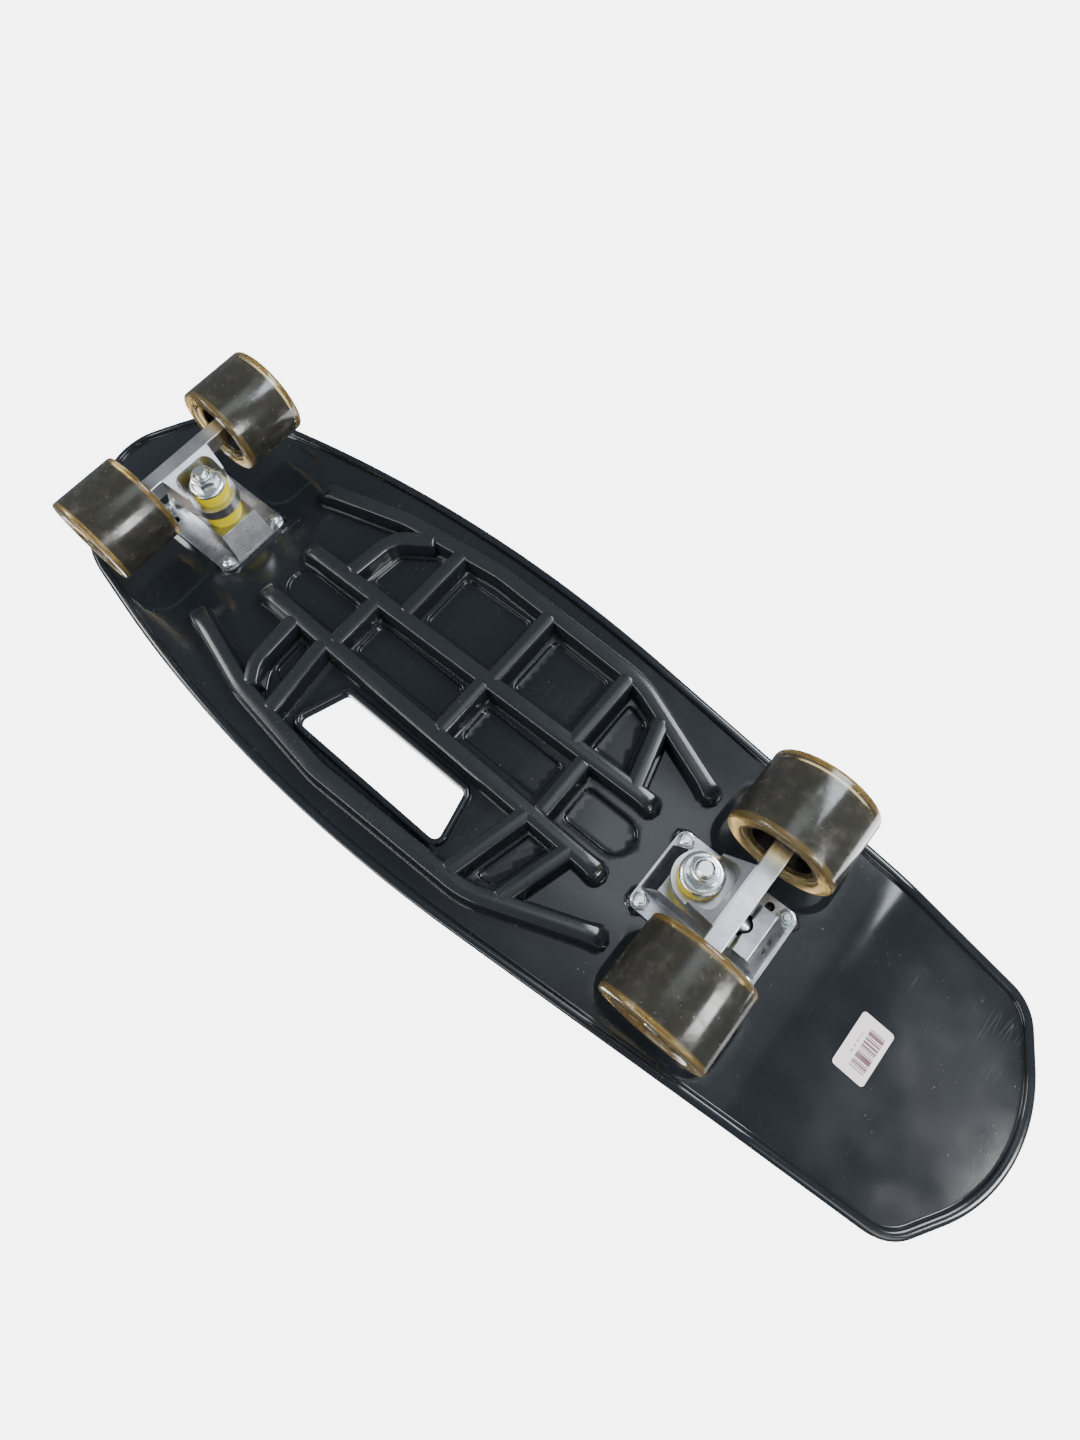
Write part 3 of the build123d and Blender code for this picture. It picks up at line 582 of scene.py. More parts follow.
def spread(points, spacing):
    """Keep the field's points that stay clear of the rows laid along the edges."""
    rim_room, slot_room, bolt_room = 6, 3, 5.5
    clear = outside_by(points, outline) < -spacing - rim_room
    clear &= outside_by(points, slot_loop) > spacing + slot_room
    for loop, edge in hollows:
        clear &= np.abs(outside_by(points, loop)) > spacing / 2 + edge
    for x, y in bolt_spots:
        clear &= np.hypot(points[:, 0] - x, points[:, 1] - y) > spacing / 2 + bolt_room
    return points[clear]


# Rows of points follow every edge, close together where the plate curves.
rows = [grown(outline, -d) for d in (0.4, 1.0, 1.8, 2.7, 3.6, 4.3, 4.8, 5.1, 5.3, 5.5, 6.4, 8.5)]
rows += [grown(slot_loop, d) for d in (0.3, 0.9, 1.9, 2.9, 3.4, 3.8, 4.1, 4.3, 4.8, 5.3)]
edges_laid = []
for loop, edge in hollows:
    edges_laid += [grown(loop, edge * part) for part in (-1.1, -0.7, -0.35, 0, 0.35, 0.7, 1.1)]
rim_rows_end, lip_rows_end = 6.8, 5.6
laid = np.vstack(edges_laid)
laid = laid[
    (outside_by(laid, outline) < -rim_rows_end) & (outside_by(laid, slot_loop) > lip_rows_end)
]
bolt_hole, countersink = 2.6, 5.0
under_pitch, top_pitch = 4.0, 7.0
under_loops = [outline, slot_loop] + [circle(x, y, bolt_hole) for x, y in bolt_spots]
under_field = spread(grid(under_pitch), under_pitch)
under_flat, under_faces = triangulated(under_loops, np.vstack(rows + [laid, under_field]))
top_loops = [outline, slot_loop] + [circle(x, y, countersink) for x, y in bolt_spots]
top_rows = [grown(outline, -d) for d in (0.2, 0.6, 1.1, 1.6, 4.0)]
top_rows += [grown(slot_loop, d) for d in (0.2, 0.7, 1.6, 4)]
top_field = spread(grid(top_pitch), top_pitch)
top_flat, top_faces = triangulated(top_loops, np.vstack(top_rows + [top_field]))

under_points = np.column_stack([under_flat, underside_height(under_flat)])
top_points = np.column_stack([top_flat, topside_height(top_flat)])


def facing(points, faces, up):
    """Faces wound so that they look up or down."""
    a, b, c = (points[faces[:, i]] for i in range(3))
    turned = np.cross(b - a, c - a)[:, 2] * up < 0
    faces[turned] = faces[turned][:, ::-1]
    return faces


under_faces = facing(under_points, under_faces, -1)
top_faces = facing(top_points, top_faces, 1)
wall_faces, offset, start = [], len(under_points), 0
for index, loop in enumerate(under_loops):
    count = len(loop)
    for i in range(count):
        a, b = start + i, start + (i + 1) % count
        quad = (a, b, b + offset, a + offset)
        wall_faces.append(quad if index == 0 else quad[::-1])
    start += count

deck_points = np.vstack([under_points, top_points]) * MM
deck_faces = [tuple(f) for f in under_faces] + wall_faces
top_from = len(deck_faces)
deck_faces += [tuple(f + offset) for f in top_faces]

deck_finish = Finish("deck_plastic", (0.010, 0.011, 0.013), roughness=0.16, ior=1.5)
haze = deck_finish.noise(26, 4, 0.6).band(0.42, 0.75)
dust = deck_finish.noise(520, 2, 0.7).band(0.68, 0.76) * deck_finish.noise(34, 2).band(0.5, 0.66)
marks = scratches(deck_finish, 150, 38).top(scratches(deck_finish, 190, -22))
marks = marks.top(scratches(deck_finish, 120, 80))
marks = marks * deck_finish.noise(24, 2).band(0.56, 0.72)
deck_x, _, deck_z = deck_finish.axes()
rubbed = (rib_crest + 4 - deck_z).band(0, 4) * (0.55 + deck_finish.noise(120, 4, 0.65) * 0.6)
scuffed_tail = (-180 - deck_x).band(0, 90) * deck_finish.noise(9, 3, 0.6).band(0.46, 0.66)
deck_finish.feed(
    base_color=deck_finish.mix(
        (dust * 0.3).top(marks * 0.10).top(rubbed * 0.015).top(scuffed_tail * 0.03),
        (0.009, 0.011, 0.013), (0.30, 0.31, 0.31),
    ),
    roughness=0.10 + haze * 0.07 + dust * 0.3 + marks * 0.15 + rubbed * 0.11 + scuffed_tail * 0.08,
    normal=deck_finish.bump(
        deck_finish.noise(900, 3, 0.6), 0.000010,
        deck_finish.bump(deck_finish.noise(11, 2, 0.4), 0.0009),
    ),
)

# The top carries a moulded waffle grip: rows of small raised squares turned 45 degrees.
grip_pitch = 4.2
grip_finish = Finish("deck_grip", (0.012, 0.013, 0.015), roughness=0.38, ior=1.5)
grip_x, grip_y, _ = grip_finish.axes()
crossed = []
for across in (grip_x + grip_y, grip_x - grip_y):
    phase = across.maths("PINGPONG", across, grip_pitch / 2)
    crossed.append((phase / (grip_pitch / 2)).band(0.18, 0.42))
raised = crossed[0] * crossed[1]
scuffs = grip_finish.noise(16, 5, 0.65).band(0.48, 0.72)
grip_finish.feed(
    base_color=grip_finish.mix(scuffs * raised * 0.5, (0.011, 0.012, 0.014), (0.075, 0.076, 0.078)),
    roughness=0.34 + scuffs * 0.22 + grip_finish.noise(300, 2) * 0.08,
    normal=grip_finish.bump(raised, 0.0006, grip_finish.bump(grip_finish.noise(2500, 2), 0.00004)),
)
deck_plate = mesh_object(
    "deck_plate", deck_points, deck_faces, deck_finish, second=grip_finish, second_from=top_from
)
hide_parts("deck")
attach(deck_plate, "board")


# ------------------------ deck ribs
# Ribs moulded with the plate. Each follows its centre line with drafted sides and a soft crest
# and flares into the plate at its foot. The four long ribs end in a round nose.
def curve_object(name, paths, closed=False):
    """Poly splines in the plan, one for each path of (x, y)."""
    curve = bpy.data.curves.new(name, "CURVE")
    curve.dimensions = "3D"
    for path in paths:
        spline = curve.splines.new("POLY")
        spline.points.add(len(path) - 1)
        for point, (x, y) in zip(spline.points, path):
            point.co = (x * MM, y * MM, 0, 1)
        spline.use_cyclic_u = closed
    return stand(name, curve)


def geometry_tree(name, inputs):
    """A geometry tree with named inputs: its graph, and a wire for each input."""
    tree = bpy.data.node_groups.new(name, "GeometryNodeTree")
    tree.interface.new_socket("Geometry", in_out="INPUT", socket_type="NodeSocketGeometry")
    for label, kind, value in inputs:
        socket = tree.interface.new_socket(label, in_out="INPUT", socket_type=kind)
        if value is not None:
            socket.default_value = value
    tree.interface.new_socket("Geometry", in_out="OUTPUT", socket_type="NodeSocketGeometry")
    graph = Graph(tree)
    source = graph.node("NodeGroupInput")
    labels = ["Geometry"] + [label for label, _, _ in inputs]
    return graph, {label: source.output(label) for label in labels}


def grown_mesh(name, holder, graph, shape, finish, values):
    """Close a tree with its material, run it on the holder and keep the mesh it makes."""
    smooth = graph.node("GeometryNodeSetShadeSmooth", sockets={0: shape, 2: True})
    whole = graph.node("GeometryNodeRealizeInstances", sockets={0: smooth})
    dressed = graph.node("GeometryNodeSetMaterial", sockets={0: whole, "Material": finish.material})
    last = graph.tree.nodes.new("NodeGroupOutput")
    graph.tree.links.new(dressed.socket, last.inputs[0])
    modifier = holder.modifiers.new(name, "NODES")
    modifier.node_group = graph.tree
    for item in graph.tree.interface.items_tree:
        if item.in_out == "INPUT" and item.name in values:
            modifier[item.identifier] = values[item.name]
    depsgraph = bpy.context.evaluated_depsgraph_get()
    shown = holder.evaluated_get(depsgraph)
    mesh = bpy.data.meshes.new_from_object(shown, depsgraph=depsgraph)
    holder.modifiers.remove(modifier)
    bpy.data.objects.remove(holder)
    return stand(name, mesh)


rib_half, crest_half, crest_turn, crest_crown = 6.4, 5.0, 2.0, 0.35
foot_flare, rib_root = 1.0, 2.2
rib_height = underside - rib_crest
draft = atan2(rib_half - crest_half, rib_height - crest_turn)
flat_half = crest_half - crest_turn
profile = [(flat_half * part, rib_height - crest_crown * part**2) for part in (0.0, 0.4, 0.75)]
for part in np.linspace(0, 1, 7):
    angle = (pi / 2 - draft) * part
    profile.append((flat_half + crest_turn * sin(angle),
                    rib_height - crest_crown - crest_turn + crest_turn * cos(angle)))
for part in np.linspace(0, 1, 5):
    angle = pi / 2 * part
    profile.append((rib_half + foot_flare - foot_flare * cos(angle),
                    foot_flare - foot_flare * sin(angle)))
profile.append((rib_half + foot_flare, -rib_root))
profile = profile[1:] + [(-x, y) for x, y in profile[::-1]]
profile_curve = curve_object("rib_profile", [profile], closed=True)


def rib_tree():
    """A tree that sweeps the rib's profile along its lines, with rounded noses on the plate."""
    graph, wires = geometry_tree("ribs_on_plate", [
        ("Profile", "NodeSocketObject", None), ("Nose length", "NodeSocketFloat", 0.006),
        ("Ramp length", "NodeSocketFloat", 0.02), ("Spread", "NodeSocketFloat", 0.2),
        ("Plate level", "NodeSocketFloat", 0.084),
    ])
    spline = graph.node("GeometryNodeSplineParameter", out="Length")
    from_end = spline.least(graph.node("GeometryNodeSplineLength", out="Length") - spline)
    short = 1 - (from_end / wires["Nose length"]).least(1.0)
    ramp = (from_end / wires["Ramp length"]).band(0.0, 1.0)
    wide = 1 + wires["Spread"] * (1 - ramp)
    end_rise = 0.82
    rise = (end_rise + ramp * 0.18) / wide
    risen = graph.node("GeometryNodeStoreNamedAttribute", sockets={
        0: wires["Geometry"], "Name": "rise", "Value": rise,
    })
    fullness = ((1 - short * short) ** 0.5).top(0.02)
    section = graph.node("GeometryNodeObjectInfo", sockets={0: wires["Profile"]}, out="Geometry")
    shaped = graph.node("GeometryNodeSetCurveRadius", sockets={0: risen, 2: fullness * wide})
    swept = graph.node("GeometryNodeCurveToMesh", sockets={
        "Curve": shaped, "Fill Caps": True, "Scale": graph.node("GeometryNodeInputRadius"),
        "Profile Curve": section,
    })
    place = graph.node("GeometryNodeInputPosition")
    height = graph.node("ShaderNodeSeparateXYZ", sockets={0: place}).output("Z")
    share = graph.node("GeometryNodeInputNamedAttribute", sockets={"Name": "rise"})
    raised = wires["Plate level"] + height * (share - 1)
    lift = graph.node("ShaderNodeCombineXYZ", sockets={2: raised})
    return graph, graph.node("GeometryNodeSetPosition", sockets={0: swept, "Offset": lift})


for name, group, nose, ramp, wide in (
    ("long_ribs", long_lines, 8.0, 16, 0.18), ("cross_ribs", cross_lines, 2.0, 0.5, 0.0),
):
    paths = [rounded(line, spacing=1.6, closed=False) for line in group]
    lines = curve_object(name + "_lines", paths)
    deck_ribs = grown_mesh(name, lines, *rib_tree(), deck_finish, {
        "Profile": profile_curve, "Nose length": nose * MM, "Ramp length": ramp * MM,
        "Spread": wide, "Plate level": underside * MM,
    })
    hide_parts("deck")
    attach(deck_ribs, "board")
bpy.data.objects.remove(profile_curve)


# ------------------------ tail label
# A small self-adhesive paper label, stuck to the underside of the tail. It has a block of faded
# bars and no words.
label_finish = Finish("label_paper", (0.80, 0.77, 0.76), roughness=0.55)
label_low, label_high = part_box("tail_label")
label_x, label_y, _ = label_finish.axes()
along = (label_y - label_low[1] / MM) / ((label_high[1] - label_low[1]) / MM)
across = (label_x - label_low[0] / MM) / ((label_high[0] - label_low[0]) / MM)


def stripes(count, row, above, length, width):
    """Bars of random width in a block, given as shares of the label's length and width."""
    spot = label_finish.node("ShaderNodeCombineXYZ", sockets={0: along * count, 1: row})
    dark = label_finish.noise(1, 0, 0.5, spot) > above
    dark = dark * (along > length[0]) * (along < length[1])
    return dark * (across > width[0]) * (across < width[1])


bars = stripes(34.0, 0.0, 0.47, (0.16, 0.84), (0.14, 0.60))
ticks = stripes(21.0, 7.0, 0.5, (0.3, 0.7), (0.70, 0.75))
fade = 0.8 + label_finish.noise(160, 3) * 0.3
paper = label_finish.mix(label_finish.noise(90, 4), (0.84, 0.76, 0.74), (0.70, 0.60, 0.59))
label_finish.feed(
    base_color=label_finish.mix(bars.top(ticks * 0.7) * fade, paper, (0.13, 0.045, 0.08)),
    roughness=0.45 + label_finish.noise(300, 2) * 0.2,
    normal=label_finish.bump(label_finish.noise(70, 2), 0.0003),
)


def dress(finish, *names):
    """Give CAD nodes that keep their shape a better finish."""
    for name in names:
        for material_slot in nodes[name].material_slots:
            material_slot.material = finish.material


dress(label_finish, "tail_label")


# ------------------------ base plates
# Each base plate is a polished alloy casting: a plate with four bolt holes and a tapered block
# that seats the kingpin and the pivot cup. Its edges are broken, and they catch the light.
def softened(name, node, finish, body):
    """A copy of a CAD node with its sharp edges rounded over, in a better finish."""
    mesh = nodes[node].data.copy()
    made = stand(name, mesh)
    work = bmesh.new()
    work.from_mesh(mesh)
    bmesh.ops.remove_doubles(work, verts=work.verts, dist=0.000002)
    bmesh.ops.dissolve_limit(
        work, angle_limit=radians(1.0), verts=work.verts, edges=work.edges
    )
    work.to_mesh(mesh)
    work.free()
    if "custom_normal" in mesh.attributes:
        mesh.attributes.remove(mesh.attributes["custom_normal"])
    mesh.materials.clear()
    mesh.materials.append(finish.material)
    mesh.polygons.foreach_set("use_smooth", [True] * len(mesh.polygons))
    bevel = made.modifiers.new("edges", "BEVEL")
    bevel.width, bevel.segments = 0.6 * MM, 2
    bevel.limit_method, bevel.angle_limit = "ANGLE", radians(32)
    bevel.harden_normals = True
    shown = made.evaluated_get(bpy.context.evaluated_depsgraph_get())
    final = bpy.data.meshes.new_from_object(shown)
    bpy.data.objects.remove(made)
    made = stand(name, final)
    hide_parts(node)
    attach(made, body)
    return made


cast_finish = Finish("polished_casting", (0.62, 0.63, 0.65), roughness=0.2, metallic=1.0)
cast_cloud = cast_finish.noise(90, 4, 0.6)
polish = cast_finish.noise(1100, 2, 0.5, cast_finish.stretched((1, 0.12, 1), (0, 0, 0.4)))
pits = cast_finish.noise(1500, 2, 0.6).band(0.68, 0.76)
cast_finish.feed(
    base_color=cast_finish.mix(
        cast_cloud.band(0.35, 0.7).top(pits), (0.50, 0.51, 0.53), (0.30, 0.31, 0.33),
    ),
    roughness=0.16 + cast_cloud * 0.16 + polish * 0.12 + pits * 0.2,
    normal=cast_finish.bump(polish, 0.000012, cast_finish.bump(cast_cloud, 0.00008)),
)
for end in ("rear", "front"):
    plate = softened(end + "_base_plate_cast", end + "_base_plate", cast_finish, "board")


# ------------------------ hangers
# The hanger is cast in one piece: a square bar for the axle, a yoke with a pocket, the ring
# between the bushings, and the pivot nose. The bar is linished along its length.
bar_finish = Finish("linished_casting", (0.80, 0.80, 0.80), roughness=0.3, metallic=1.0)
lines_along = bar_finish.noise(1600, 3, 0.6, bar_finish.stretched((1, 0.03, 1)))
bar_cloud = bar_finish.noise(55, 4, 0.6)
_, bar_y, _ = bar_finish.axes()
oily = (abs(bar_y) - 24).band(0, 8) * bar_cloud.band(0.3, 0.6)
bare_bar = bar_finish.mix(bar_cloud.band(0.3, 0.7), (0.64, 0.64, 0.65), (0.46, 0.46, 0.47))
bar_finish.feed(
    base_color=bar_finish.mix(oily * 0.55, bare_bar, (0.50, 0.38, 0.18)),
    roughness=0.22 + lines_along * 0.16 + bar_cloud * 0.08,
    normal=bar_finish.bump(lines_along, 0.00004, bar_finish.bump(bar_cloud, 0.0003)),
)
for end in ("rear", "front"):
    hanger = softened(end + "_hanger_cast", end + "_hanger", bar_finish, end + "_truck")


# ------------------------ bushings and pivot cups
# Bright yellow cast urethane, slightly see-through, squeezed between the washers. The pivot cup
# is black urethane.
urethane = Finish("yellow_urethane", (0.66, 0.54, 0.0), roughness=0.32, subsurface_weight=0.12)
urethane.shader.inputs["Subsurface Radius"].default_value = (0.003, 0.002, 0.0004)
grime = urethane.noise(140, 4, 0.65).band(0.55, 0.8)
urethane.feed(
    base_color=urethane.mix(grime * 0.4, (0.68, 0.56, 0.0), (0.30, 0.26, 0.03)),
    roughness=0.26 + urethane.noise(500, 3) * 0.2,
    normal=urethane.bump(urethane.noise(260, 3), 0.00008),
)
cup_finish = Finish("black_urethane", (0.015, 0.015, 0.016), roughness=0.45)
cup_finish.grainy(0.35, 0.25, 400, 700, 2, 0.00005)
for end in ("rear", "front"):
    dress(cup_finish, end + "_pivot_cup")


# ------------------------ turned steel on the kingpin
# The dished washers are pressed, and the kingpin is a bolt with a rolled thread. Both are
# zinc plated. Each is a turned shape about the kingpin's own line.
zinc_finish = Finish("zinc_plate", (0.74, 0.78, 0.79), roughness=0.25, metallic=1.0)
zinc_cloud = zinc_finish.noise(240, 4, 0.6)
zinc_finish.feed(
    base_color=zinc_finish.mix(
        zinc_cloud.band(0.35, 0.7), (0.80, 0.84, 0.84), (0.56, 0.61, 0.62),
    ),
    roughness=0.18 + zinc_cloud * 0.2,
    normal=zinc_finish.bump(
        zinc_finish.noise(1800, 2), 0.000008, zinc_finish.bump(zinc_cloud, 0.00003),
    ),
)


def ring_faces(count, size):
    """The faces between outlines of size points that stand in a ring, one for each step."""
    faces = []
    for step in range(count):
        here, ahead = step * size, (step + 1) % count * size
        for i in range(size):
            j = (i + 1) % size
            faces.append((here + i, ahead + i, ahead + j, here + j))
    return faces


def turned(name, outline_points, centre, finish, axis="Z", count=72):
    """A closed ring turned from an outline (radius, height) about an axis through a centre."""
    points = []
    for step in range(count):
        angle = 2 * pi * step / count
        for radius, height in outline_points:
            u, v = radius * cos(angle), radius * sin(angle)
            spot = (u, v, height) if axis == "Z" else (v, height, u)
            points.append([(c + p) * MM for c, p in zip(centre, spot)])
    made = mesh_object(name, points, ring_faces(count, len(outline_points)), finish)
    work = bmesh.new()
    work.from_mesh(made.data)
    bmesh.ops.remove_doubles(work, verts=work.verts, dist=1e-7)
    bmesh.ops.recalc_face_normals(work, faces=work.faces)
    work.to_mesh(made.data)
    work.free()
    made.data.set_sharp_from_angle(angle=radians(34))
    return made


def eased_corners(corners, steps=4):
    """An outline through corners (radius, height, size), each turned over its size."""
    path = []
    for index, (radius, height, size) in enumerate(corners):
        here = np.array((radius, height), dtype=float)
        back = np.array(corners[index - 1][:2]) - here
        ahead = np.array(corners[(index + 1) % len(corners)][:2]) - here
        back_run, ahead_run = np.hypot(*back), np.hypot(*ahead)
        size = min(size, back_run * 0.45, ahead_run * 0.45)
        start, end = here + back / back_run * size, here + ahead / ahead_run * size
        for part in np.linspace(0, 1, steps):
            rest = 1 - part
            path.append(tuple(rest**2 * start + 2 * part * rest * here + part**2 * end))
    return path


for end in ("rear", "front"):
    pin_x = middle(end + "_kingpin_nut", 0)
    for which in ("lower", "upper"):
        node = end + "_bushing_" + which
        low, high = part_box(node)
        outer, base, crown = (high[1] - low[1]) / 2 / MM, low[2] / MM, high[2] / MM
        bore = 4.9
        swell = eased_corners([
            (bore, base, 0.1), (outer - 1.0, base, 0.9), (outer, (base + crown) / 2, 4.0),
            (outer - 1.0, crown, 0.9), (bore, crown, 0.1),
        ], steps=6)
        bushing = turned(end + "_urethane_bushing_" + which, swell, (pin_x, 0, 0), urethane)
        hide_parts(node)
        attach(bushing, "board")
    for which, up in (("lower", -1), ("upper", 1)):
        node = end + "_cup_washer_" + which
        low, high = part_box(node)
        outer = (high[1] - low[1]) / 2 / MM
        level = (high[2] if up < 0 else low[2]) / MM
        tall = (high[2] - low[2]) / MM
        bore = 4.8
        dish = eased_corners([
            (bore, 0, 0.2), (outer - 1.6, 0, 0.9), (outer, 1.3, 0.6), (outer, tall, 0.5),
            (outer - 1.2, tall, 0.4), (outer - 1.3, 1.65, 0.5), (bore, 1.6, 0.2),
        ])
        washer = turned(end + "_dished_washer_" + which, [(r, up * z) for r, z in dish],
                        (pin_x, 0, level), zinc_finish)
        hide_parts(node)
        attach(washer, "board")
    low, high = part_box(end + "_kingpin")
    pin_low, pin_high = low[2] / MM, high[2] / MM
    pin_radius, thread_depth, pitch, head_height = 4.7, 0.55, 1.5, 6.2
    thread = [(0.0, pin_low), (pin_radius - 1.3, pin_low), (pin_radius - 0.7, pin_low + 0.5)]
    for turn_index in range(6):
        base = pin_low + 0.7 + turn_index * pitch
        thread += [(pin_radius - thread_depth, base), (pin_radius, base + pitch * 0.42),
                   (pin_radius, base + pitch * 0.58)]
    head_radius = (high[1] - low[1]) / 2 / MM
    thread += [(pin_radius, pin_high - head_height), (head_radius, pin_high - head_height),
               (head_radius, pin_high), (0.0, pin_high)]
    pin = turned(end + "_kingpin_bolt", thread, (pin_x, 0, 0), zinc_finish, count=48)
    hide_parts(end + "_kingpin")
    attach(pin, "board")


# ------------------------ hexagon nuts
# Steel nuts, zinc plated, their corners turned off to a cone. Each has a lock collar at its
# outer end. Eight hold the trucks to the deck, two hold the kingpins, four hold the wheels.
def nut_tree():
    """A tree that sets a chamfered nut with a collar on every point, along its z."""
    graph, wires = geometry_tree("nuts_on_points", [
        ("Nut", "NodeSocketObject", None), ("Turn step", "NodeSocketFloat", 0.6),
        ("Seed", "NodeSocketInt", 4),
    ])
    shape = graph.node("GeometryNodeObjectInfo", sockets={0: wires["Nut"]}, out="Geometry")
    number = graph.node("GeometryNodeInputIndex") + wires["Seed"]
    spin = graph.node("ShaderNodeCombineXYZ", sockets={2: number * wires["Turn step"]})
    placed = graph.node("GeometryNodeInstanceOnPoints", sockets={
        "Points": wires["Geometry"], "Instance": shape,
        "Rotation": graph.node("FunctionNodeEulerToRotation", sockets={0: spin}),
    })
    return graph, placed


def hexagon_nut(name, flats, height, collar, bore, finish):
    """One nut on z = 0: flats with turned-off corners, a collar above, and a bore."""
    points, count = [], 72
    flat, body = flats / 2, height - collar
    for step in range(count):
        angle = 2 * pi * step / count
        side = (angle + pi / 6) % (pi / 3) - pi / 6
        hexed = flat / cos(side)
        cut = (hexed - flat) * 0.58
        rings = [
            (bore, 0.5), (bore + 0.5, 0.0), (flat - 0.25, 0.0), (hexed, cut + 0.05),
            (hexed, body - cut - 0.05), (flat - 0.25, body), (flat - 0.75, body + 0.1),
            (flat - 0.85, height - 0.8), (flat - 1.5, height - 0.15), (flat - 2.1, height),
            (bore + 0.45, height), (bore, height - 0.45),
        ]
        points += [(r * cos(angle) * MM, r * sin(angle) * MM, z * MM) for r, z in rings]
    made = mesh_object(name, points, ring_faces(count, len(rings)), finish)
    made.data.set_sharp_from_angle(angle=radians(28))
    return made


def laid_along(way):
    """The turn that lays a nut's own z along a way."""
    return Vector((0, 0, 1)).rotation_difference(Vector(way)).to_matrix().to_4x4()


def set_nuts(name, spots, sizes, body, replaced):
    """Set like nuts on spots in millimetres, each hanging down from its spot."""
    nut = hexagon_nut("nut_shape", *sizes, zinc_finish)
    nut.data.transform(laid_along((0, 0, -1)))
    holder = mesh_object(name + "_spots", np.array(spots) * MM, [], zinc_finish)
    made = grown_mesh(name, holder, *nut_tree(), zinc_finish, {
        "Nut": nut, "Turn step": 0.6, "Seed": 4,
    })
    bpy.data.objects.remove(nut)
    made.data.set_sharp_from_angle(angle=radians(28))
    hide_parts(*replaced)
    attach(made, body)


# A nut's sizes are its width across the flats, its height, its collar's height and its bore.
low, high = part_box("rear_mount_nuts")
nut_bottom, nut_height = low[2] / MM, (high[2] - low[2]) / MM
set_nuts("mounting_nuts", [(x, y, nut_bottom + nut_height) for x, y in bolt_spots],
         (9.0, nut_height, 1.0, 2.5), "board", ["rear_mount_nuts", "front_mount_nuts"])
kingpin_tops = [(middle(end + "_kingpin_nut", 0), 0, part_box(end + "_kingpin_nut")[1][2] / MM)
                for end in ("rear", "front")]
low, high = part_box("rear_kingpin_nut")
set_nuts("kingpin_nuts", kingpin_tops, (14.2, (high[2] - low[2]) / MM, 2.8, 4.8), "board",
         ["rear_kingpin_nut", "front_kingpin_nut"])
axle_level, axle_nut_height = middle("rear_axle", 2), 6.5
for end, axle_x in axles:
    low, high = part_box(end + "_axle_nuts")
    for side, way, outer_end in (("plus", 1, high), ("minus", -1, low)):
        seat = outer_end[1] / MM - way * axle_nut_height
        nut = hexagon_nut(
            end + "_axle_nut_" + side, 12.7, axle_nut_height, 2.0, 4.05, zinc_finish
        )
        place = Matrix.Translation((axle_x * MM, seat * MM, axle_level * MM))
        nut.data.transform(place @ laid_along((0, way, 0)))
        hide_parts(end + "_axle_nuts")
        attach(nut, end + "_truck")
    dress(zinc_finish, end + "_axle", end + "_speed_washers", end + "_mount_screws")


# ------------------------ wheels
# Each wheel is clear urethane cast round a black moulded core: smoky over the core and amber at
# its edges. The tread is dulled and speckled by the road. Two steel bearings sit in the core.
wheel_centre_y, core_half = 51.5, 18.5
tyre_finish = Finish(
    "smoke_urethane", (0.30, 0.22, 0.11), roughness=0.15, ior=1.5, transmission_weight=0.85,
)
_, tyre_y, _ = tyre_finish.axes()
across_wheel = abs(abs(tyre_y) - wheel_centre_y)
over_core = 1 - across_wheel.band(core_half - 0.4, core_half + 0.4)
road = tyre_finish.noise(130, 5, 0.65)
specks = tyre_finish.noise(420, 1, 0.5).band(0.74, 0.80)
rings_round = tyre_finish.noise(260, 2, 0.5, tyre_finish.stretched((0.15, 1, 0.15)))
worn = road.band(0.45, 0.75)
edge_amber = tyre_finish.mix(worn * 0.6, (0.44, 0.30, 0.10), (0.22, 0.16, 0.07))
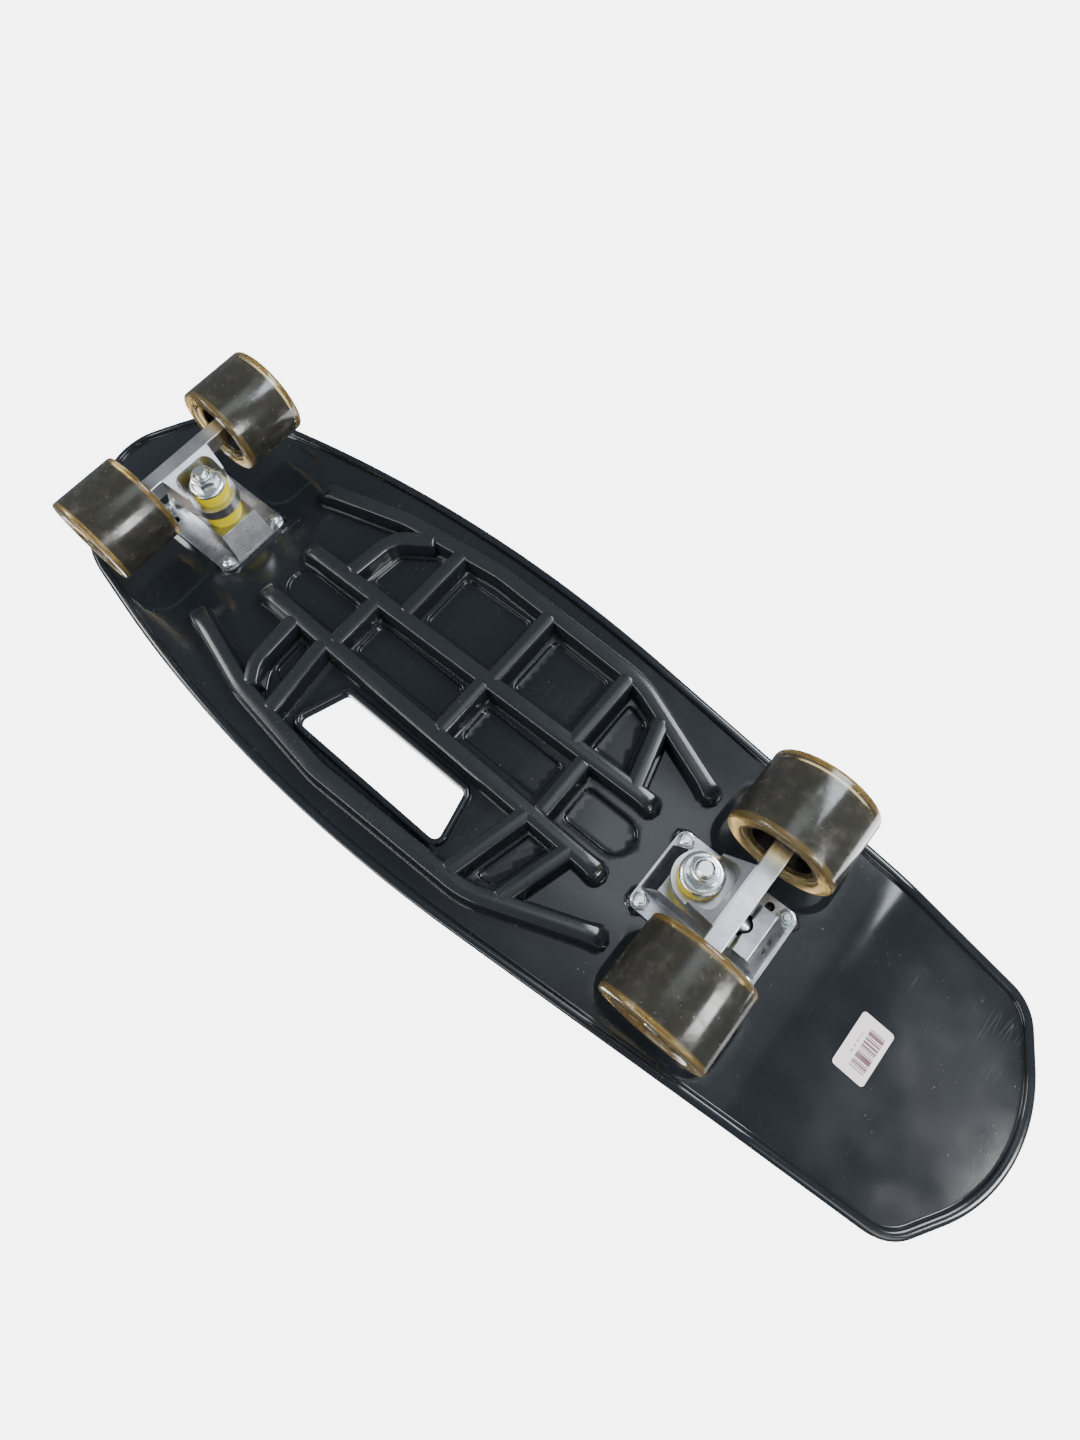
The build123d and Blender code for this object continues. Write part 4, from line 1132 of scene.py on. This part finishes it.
barrel_smoke = tyre_finish.mix(
    (worn * 0.5).top(specks * 0.7), (0.10, 0.097, 0.078), (0.28, 0.26, 0.20),
)
tyre_finish.feed(
    base_color=tyre_finish.mix(over_core, edge_amber, barrel_smoke),
    roughness=0.07 + road * 0.12 + worn * 0.10 + specks * 0.25 + rings_round * 0.06,
    normal=tyre_finish.bump(specks + rings_round * 0.5, 0.00003, tyre_finish.bump(road, 0.00006)),
)
core_finish = Finish("wheel_core", (0.012, 0.012, 0.012), roughness=0.35)
core_finish.grainy(0.28, 0.2, 300, 500, 3, 0.00008)
steel_finish = Finish("bearing_steel", (0.62, 0.63, 0.64), roughness=0.25, metallic=1.0)
steel_finish.grainy(0.18, 0.2, 600, 900, 2, 0.00002)
cage_finish = Finish("cage_nylon", (0.72, 0.68, 0.56), roughness=0.5)
cage_finish.feed(roughness=0.42 + cage_finish.noise(500, 2) * 0.15)
for end, axle_x in axles:
    dress(steel_finish, end + "_inner_races", end + "_bearing_spacers")
    for side in ("left", "right"):
        name = end + "_" + side
        low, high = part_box(name + "_tyre")
        radius, half = (high[2] - low[2]) / 2 / MM, (high[1] - low[1]) / 2 / MM
        # The inner wall is buried in the core: an air gap there would mirror.
        buried, wall, mouth, ledge = 20.6, core_half - 0.4, 18.6, half - 1.2
        near_side = [
            (radius, half, 2.2), (radius - 7.6, half, 0.6), (radius - 8.2, ledge, 0.5),
            (mouth, ledge, 0.7), (mouth, wall, 0.1), (buried, wall, 0.1),
        ]
        far_side = [(r, -z, size) for r, z, size in near_side[::-1]]
        section = eased_corners(near_side + far_side, steps=5)
        centre = (axle_x, (low[1] + high[1]) / 2 / MM, axle_level)
        tyre = turned(name + "_urethane", section, centre, tyre_finish, axis="Y", count=128)
        tyre.data.set_sharp_from_angle(angle=radians(40))
        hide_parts(name + "_tyre")
        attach(tyre, name + "_wheel")
        dress(core_finish, name + "_core")
        dress(steel_finish, name + "_outer_races", name + "_shields", name + "_balls")
        dress(cage_finish, name + "_cages")
